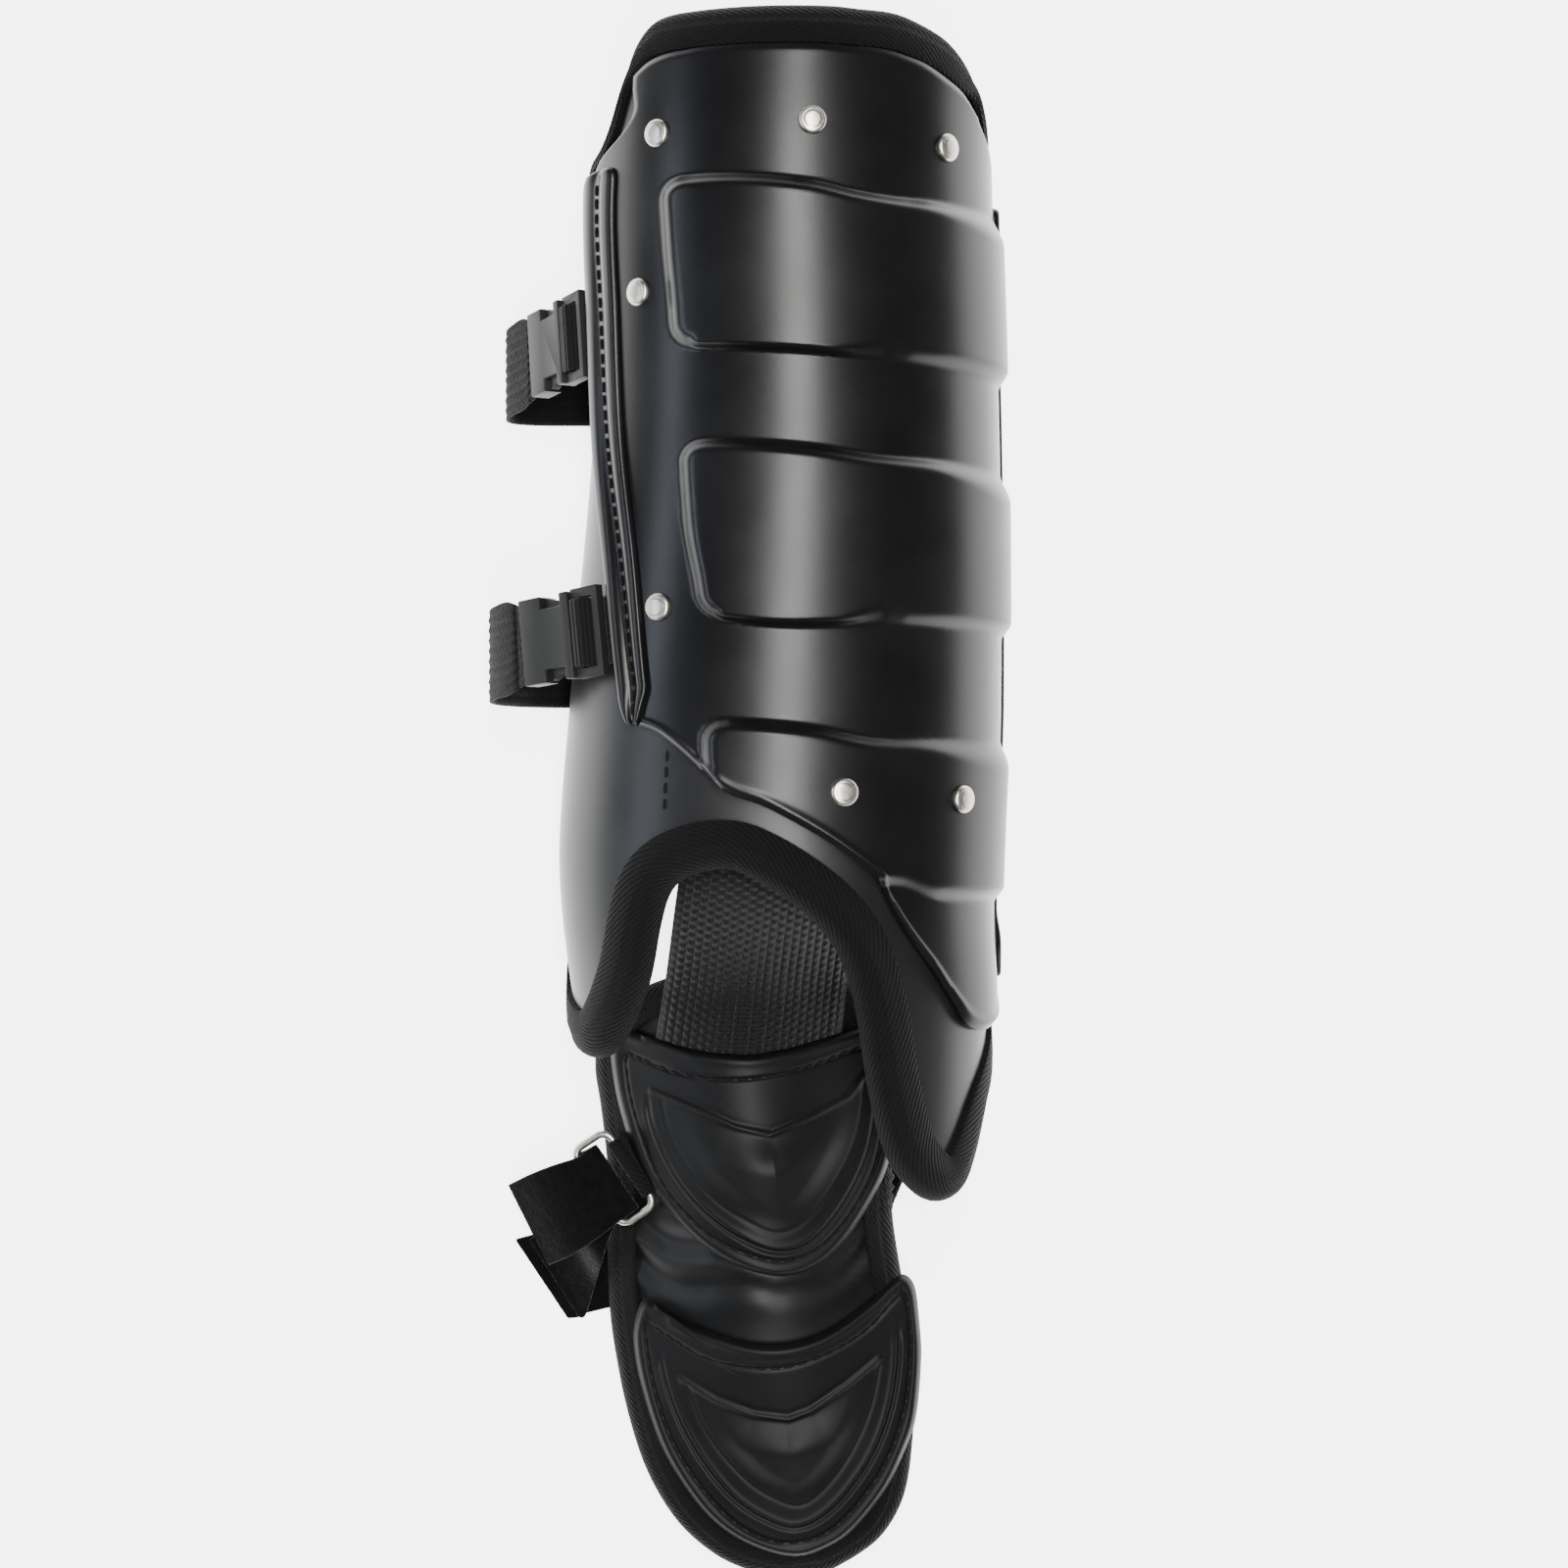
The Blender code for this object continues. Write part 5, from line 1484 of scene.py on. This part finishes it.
def webPoint(across, along, height):
    depth = shin["wall"] + web["clear"] + 2 * gap + web["thickness"]
    top = shin["end"] + archTop * shin["length"] + web["tuck"]
    topPoint = Vector((web["topX"] + across * web["topWidth"], top, 0))
    footAcross = web["footX"] + across * web["width"]
    capTop = lineRead(capTopLine, footAcross / foot["halfWidth"])[0]
    end = onFoot(footAcross, capTop * foot["length"] - gap, 0)
    half, rise, middle, _ = legSection(archTop * shin["length"])
    reach = (topPoint.x - middle) / (half - depth)
    underLeg = shin["sideHeight"] + (rise - depth) * math.sqrt(1 - reach * reach) + height
    point = topPoint.lerp(end, along)
    spot = footFrame.inverted() @ point
    onPad = padHeight(spot.x, -spot.y) + foot["capLift"] + height
    point.z = mix(underLeg, onPad, ease(along * 1.45 - 0.16))
    return point + origin


def makeAnkleWeb():
    def outer(across, along):
        # each yarn rises and dips in turn with its neighbours
        column = across * web["yarns"]
        flip = int(column) % 2
        crosswise = math.sin(math.pi * (column % 1)) ** 0.7 if 0 < column % 1 < 1 else 0
        phase = math.cos(math.pi * (along * web["rows"] * 2 + flip))
        puff = crosswise * (0.35 + 0.65 * (0.5 + 0.5 * phase))
        edge = ease(min(across, 1 - across) * 18)
        height = web["thickness"] + web["puff"] * puff * edge - web["sunk"]
        return webPoint(across - 0.5, along, height)

    def inner(across, along):
        return webPoint(across - 0.5, along, 0)

    def flat(across, along):
        return across * web["width"], along * web["length"]

    grid = (web["yarns"] * 7, web["rows"] * 8)
    piece = gridPiece("ankle_webbing", *grid, (outer, inner), flat, sharp=80)
    keep(piece, "weave", ("ankle_web",))


# Foot strap and its two wire rings
rings = {
    "length": 0.0275,
    "width": 0.0130,
    "wire": 0.0024,
    "corner": 0.0035,
    "right": (0.665, 0.390),
    "left": (-1.000, 0.310),
    "rightTurn": -23.0,
    "leftTurn": 34.0,
    "leftTilt": -12.0,
    "leftHeight": 0.0105,
    "sides": 16,
}
tab = {
    "width": 0.0200,
    "thickness": 0.0010,
    "length": 0.0085,
    "lean": -0.4,
    "leftWrap": (-50, 0, 45, 90, 135, 170),
    "rightWrap": (0, 45, 90, 135, 180, 225),
}
footStrap = {
    "width": 0.028,
    "thickness": 0.0016,
    "fold": (-1.470, 0.474),
    "end": (-1.630, 0.379),
    "climb": ((0.30, 0.32), (0.55, 0.86), (0.78, 1.00)),
    "endHeight": 0.50,
    "foldTurn": 26.0,
    "endTurn": 20.0,
    "rightWrap": (-30, 0, 35, 70, 110, 145, 170),
    "leftWrap": (0, 40, 80, 120, 160, 180),
    "wrapReach": 0.0118,
    "slack": 0.0048,
    "pile": 0.00015,
}


def ringTurned(middle, turn, tilt):
    turned = Matrix.Rotation(math.radians(turn), 4, "Z") @ Matrix.Rotation(math.radians(tilt), 4, "Y")
    return Matrix.Translation(middle) @ turned


def makeRing(name, node, place):
    halfX, halfY, corner = rings["width"] / 2, rings["length"] / 2, rings["corner"]
    centres = (
        (halfX - corner, halfY - corner, 0),
        (corner - halfX, halfY - corner, 90),
        (corner - halfX, corner - halfY, 180),
        (halfX - corner, corner - halfY, 270),
    )
    stations = []
    for x, y, turn in centres:
        for step in range(9):
            angle = math.radians(turn + 90 * step / 8)
            out = Vector((math.cos(angle), math.sin(angle), 0))
            stations.append((Vector((x, y, 0)) + out * corner, out))

    def wire(across, along):
        middle, out = stations[round(along * len(stations)) % len(stations)]
        angle = 2 * math.pi * across
        point = middle + (out * math.cos(angle) + up * math.sin(angle)) * rings["wire"] / 2
        return place @ point + origin

    keep(gridPiece(name, rings["sides"], len(stations), (wire,)), "nickel", (node,))


def barOf(ring, side):
    # a ring's bar: its middle, the way it runs and the way out of the ring
    turn = ring.to_3x3()
    middle = ring @ Vector((side * rings["width"] / 2, 0, 0))
    return middle, turn @ Vector((0, 1, 0)), turn @ Vector((side, 0, 0))


def roundBar(bar, across, first, second, angles, radius, reach, slack=0.0):
    stations = []
    for angle in angles:
        out = first * math.cos(math.radians(angle)) + second * math.sin(math.radians(angle))
        middle = bar + out * radius + second * slack * math.sin(math.radians(angle))
        stations.append((middle - across * reach, middle + across * reach, out))
    return stations


def turnedIn(stations):
    return [(first, second, -normal) for first, second, normal in stations]


def levelStation(middle, across, normal):
    return middle - across, middle + across, normal


def strapStations(left, right):
    half = footStrap["width"] / 2
    thickness = footStrap["thickness"]
    radius = rings["wire"] / 2 + gap + thickness / 2
    reach = rings["length"] / 2 - rings["corner"]
    low = thickness / 2
    layer = thickness + gap
    bar, across, out = barOf(right, 1)
    stations = roundBar(bar, across, up, out, footStrap["rightWrap"], radius, reach)
    fold = floorPoint(*footStrap["fold"], low)
    run = (fold - Vector((bar.x, bar.y, low))).normalized()
    side = Vector((-run.y, run.x, 0)) * -half
    for distance in (0.014, 0.030):
        stations.append(levelStation(Vector((bar.x, bar.y, low)) + run * distance, side, -up))
    turn = math.radians(footStrap["foldTurn"])
    foldWay = footFrame.to_3x3() @ Vector((-math.sin(turn), math.cos(turn), 0))
    foldSide = foldWay * (half / abs(foldWay.cross(run).z))
    foldOut = Vector((-foldWay.y, foldWay.x, 0))
    stations.append(levelStation(fold, foldSide, -up))
    stations.append(levelStation(fold + up * (layer / 2) + foldOut * layer, foldSide, foldOut))
    stations.append(levelStation(fold + up * layer, foldSide, up))
    bar, across, out = barOf(left, -1)
    below = bar - up * radius
    for share, rise in footStrap["climb"]:
        middle = (fold + up * layer).lerp(below, share)
        middle.z = mix(fold.z + layer, below.z, rise)
        stations.append(levelStation(middle, foldSide.lerp(across * reach, share), up))
    reach = footStrap["wrapReach"]
    wrapped = roundBar(bar, across, -up, -out, footStrap["leftWrap"], radius, reach, footStrap["slack"])
    stations += turnedIn(wrapped)
    above = bar + up * radius
    end = floorPoint(*footStrap["end"], above.z * footStrap["endHeight"])
    turn = math.radians(footStrap["endTurn"])
    endSide = footFrame.to_3x3() @ Vector((-math.sin(turn), math.cos(turn), 0))
    for share in (0.3, 0.65, 1.0):
        middle = above.lerp(end, share)
        middle.z = mix(above.z, end.z, share * share)
        side = (across * reach).lerp(endSide * half, min(share * 2, 1))
        stations.append(levelStation(middle, side, -up))
    return stations


def tabStations(ring, side, height, angles):
    bar, across, out = barOf(ring, side)
    radius = rings["wire"] / 2 + gap + tab["thickness"] / 2
    reach = tab["width"] / 2
    inward = Vector((out.x, out.y, 0)).normalized()
    stations = []
    normal = (up * side + inward * tab["lean"]).normalized()
    for share in (1, 0.7, 0.4):
        edges = []
        for end in (-1, 1):
            edge = footFrame.inverted() @ (bar + inward * tab["length"] * share + across * reach * end)
            edges.append(onFoot(edge.x, -edge.y, height))
        stations.append((*edges, normal))
    wrap = (up, -out) if side > 0 else (out, -up)
    wrapped = roundBar(bar, across, *wrap, angles, radius, reach)
    return stations + (wrapped if side > 0 else turnedIn(wrapped))


def makeFootStrap():
    place = (rings["left"][0] * foot["halfWidth"], rings["left"][1] * foot["length"])
    left = ringTurned(onFoot(*place, rings["leftHeight"]), rings["leftTurn"], rings["leftTilt"])
    high = footStrap["thickness"] + tab["thickness"] + 3 * gap + rings["wire"] / 2
    right = ringTurned(floorPoint(*rings["right"], high), rings["rightTurn"], 0)
    makeRing("left_wire_ring", "foot_ring_left", left)
    makeRing("right_wire_ring", "foot_ring_right", right)
    thickness = tab["thickness"]
    leftTab = tabStations(left, 1, foot["capLift"] + thickness / 2, tab["leftWrap"])
    rightTab = tabStations(right, -1, -foot["pad"] - gap - thickness / 2, tab["rightWrap"])
    keep(ribbonPiece("left_ring_tape", leftTab, thickness), "tape", ("ring_tab_left",))
    keep(ribbonPiece("right_ring_tape", rightTab, thickness), "tape", ("ring_tab_right",))

    def pile(share, run):
        return footStrap["pile"] * noise.noise(Vector((share * 60, run * 2200, 0.5)))

    stations = strapStations(left, right)
    piece = ribbonPiece("foot_hook_strap", stations, footStrap["thickness"], 12, 40, pile)
    keep(piece, "hook", ("foot_strap",))


# Short stitched seam on the liner below the shell
seam = {"around": -0.262, "first": 0.398, "last": 0.350, "lift": 0.0004, "pitch": 0.0046}


def makeSeam():
    def thread(share):
        length = mix(seam["first"], seam["last"], share)
        return legShare(seam["around"], length, seam["lift"]) + origin, legNormal(seam["around"], length)

    spots = stitchSpots(thread, 0.0, 1.0, seam["pitch"])
    keep(stitchPiece("liner_seam_stitches", spots, stitches["size"]), "thread")


makeLiner()
makeLinerTape()
print("liner ready")
makeShell()
makeStrip("left_strip", "left_edge_strip", 0)
makeStrip("right_strip", "right_edge_strip", 1)
for index, (around, length) in enumerate(rivets["places"], 1):
    makeRivet(index, around, length)
makeSeam()
print("shell ready")
for name, length, leaning, bulge in calfStraps:
    makeCalfStrap(name, length, leaning, bulge)
print("calf straps ready")
makeFootPad()
makeFootTape()
makeCap("instep", "instep_cap")
makeCap("toe", "toe_cap")
makeAnkleWeb()
makeFootStrap()
print("foot ready")


# Floor, lights and camera
studio = {
    "floorHalf": 60,
    "floorGlow": 4.0,
    "room": 0.10,
    "lens": 65.6,
    "sensor": 36,
    "cameraHeight": 0.900,
}
windows = (  # place, where it looks, width and length, watts, colour
    ("longWindow", (0.11, 0.02, 1.75), (0.0, 0.02, 0.06), (0.26, 1.9), 74, (1.0, 0.99, 0.97)),
    ("blueWindow", (-1.52, 0.0, 0.95), (0.0, 0.0, 0.05), (0.26, 1.6), 15, (0.78, 0.86, 1.0)),
)


def makeFloor():
    mesh = bmesh.new()
    bmesh.ops.create_grid(mesh, x_segments=1, y_segments=1, size=studio["floorHalf"])
    floor = toPiece("floor", mesh)
    finish = grained("paleFloor", (0.86, 0.86, 0.86), (0.90, 0.90, 0.90), 0.65, 60.0, 0.00002)
    socket(finish, "Emission Color").default_value = (1, 1, 1, 1)
    socket(finish, "Emission Strength").default_value = studio["floorGlow"]
    floor.data.materials.append(finish)


def addWindow(name, place, target, size, power, colour):
    # a long soft light whose length runs with the guard's
    data = bpy.data.lights.new(name, "AREA")
    data.shape = "RECTANGLE"
    data.size, data.size_y = size
    data.energy = power
    data.color = colour
    light = bpy.data.objects.new(name, data)
    back = (Vector(place) - Vector(target)).normalized()
    across = Vector((0, 1, 0)).cross(back).normalized()
    turn = Matrix((across, back.cross(across), back)).transposed().to_4x4()
    light.matrix_world = Matrix.Translation(place) @ turn
    bpy.context.scene.collection.objects.link(light)


def makeRoom():
    world = bpy.data.worlds.new("paleRoom")
    world.use_nodes = True
    background = world.node_tree.nodes["Background"]
    background.inputs["Color"].default_value = (1.0, 1.0, 1.0, 1)
    background.inputs["Strength"].default_value = studio["room"]
    bpy.context.scene.world = world


def addCamera():
    data = bpy.data.cameras.new("photoCamera")
    data.sensor_width = studio["sensor"]
    data.lens = studio["lens"]
    camera = bpy.data.objects.new("photoCamera", data)
    camera.location = origin + up * studio["cameraHeight"]
    bpy.context.scene.collection.objects.link(camera)
    bpy.context.scene.camera = camera


makeFloor()
for window in windows:
    addWindow(*window)
makeRoom()
addCamera()

print("stage ready")
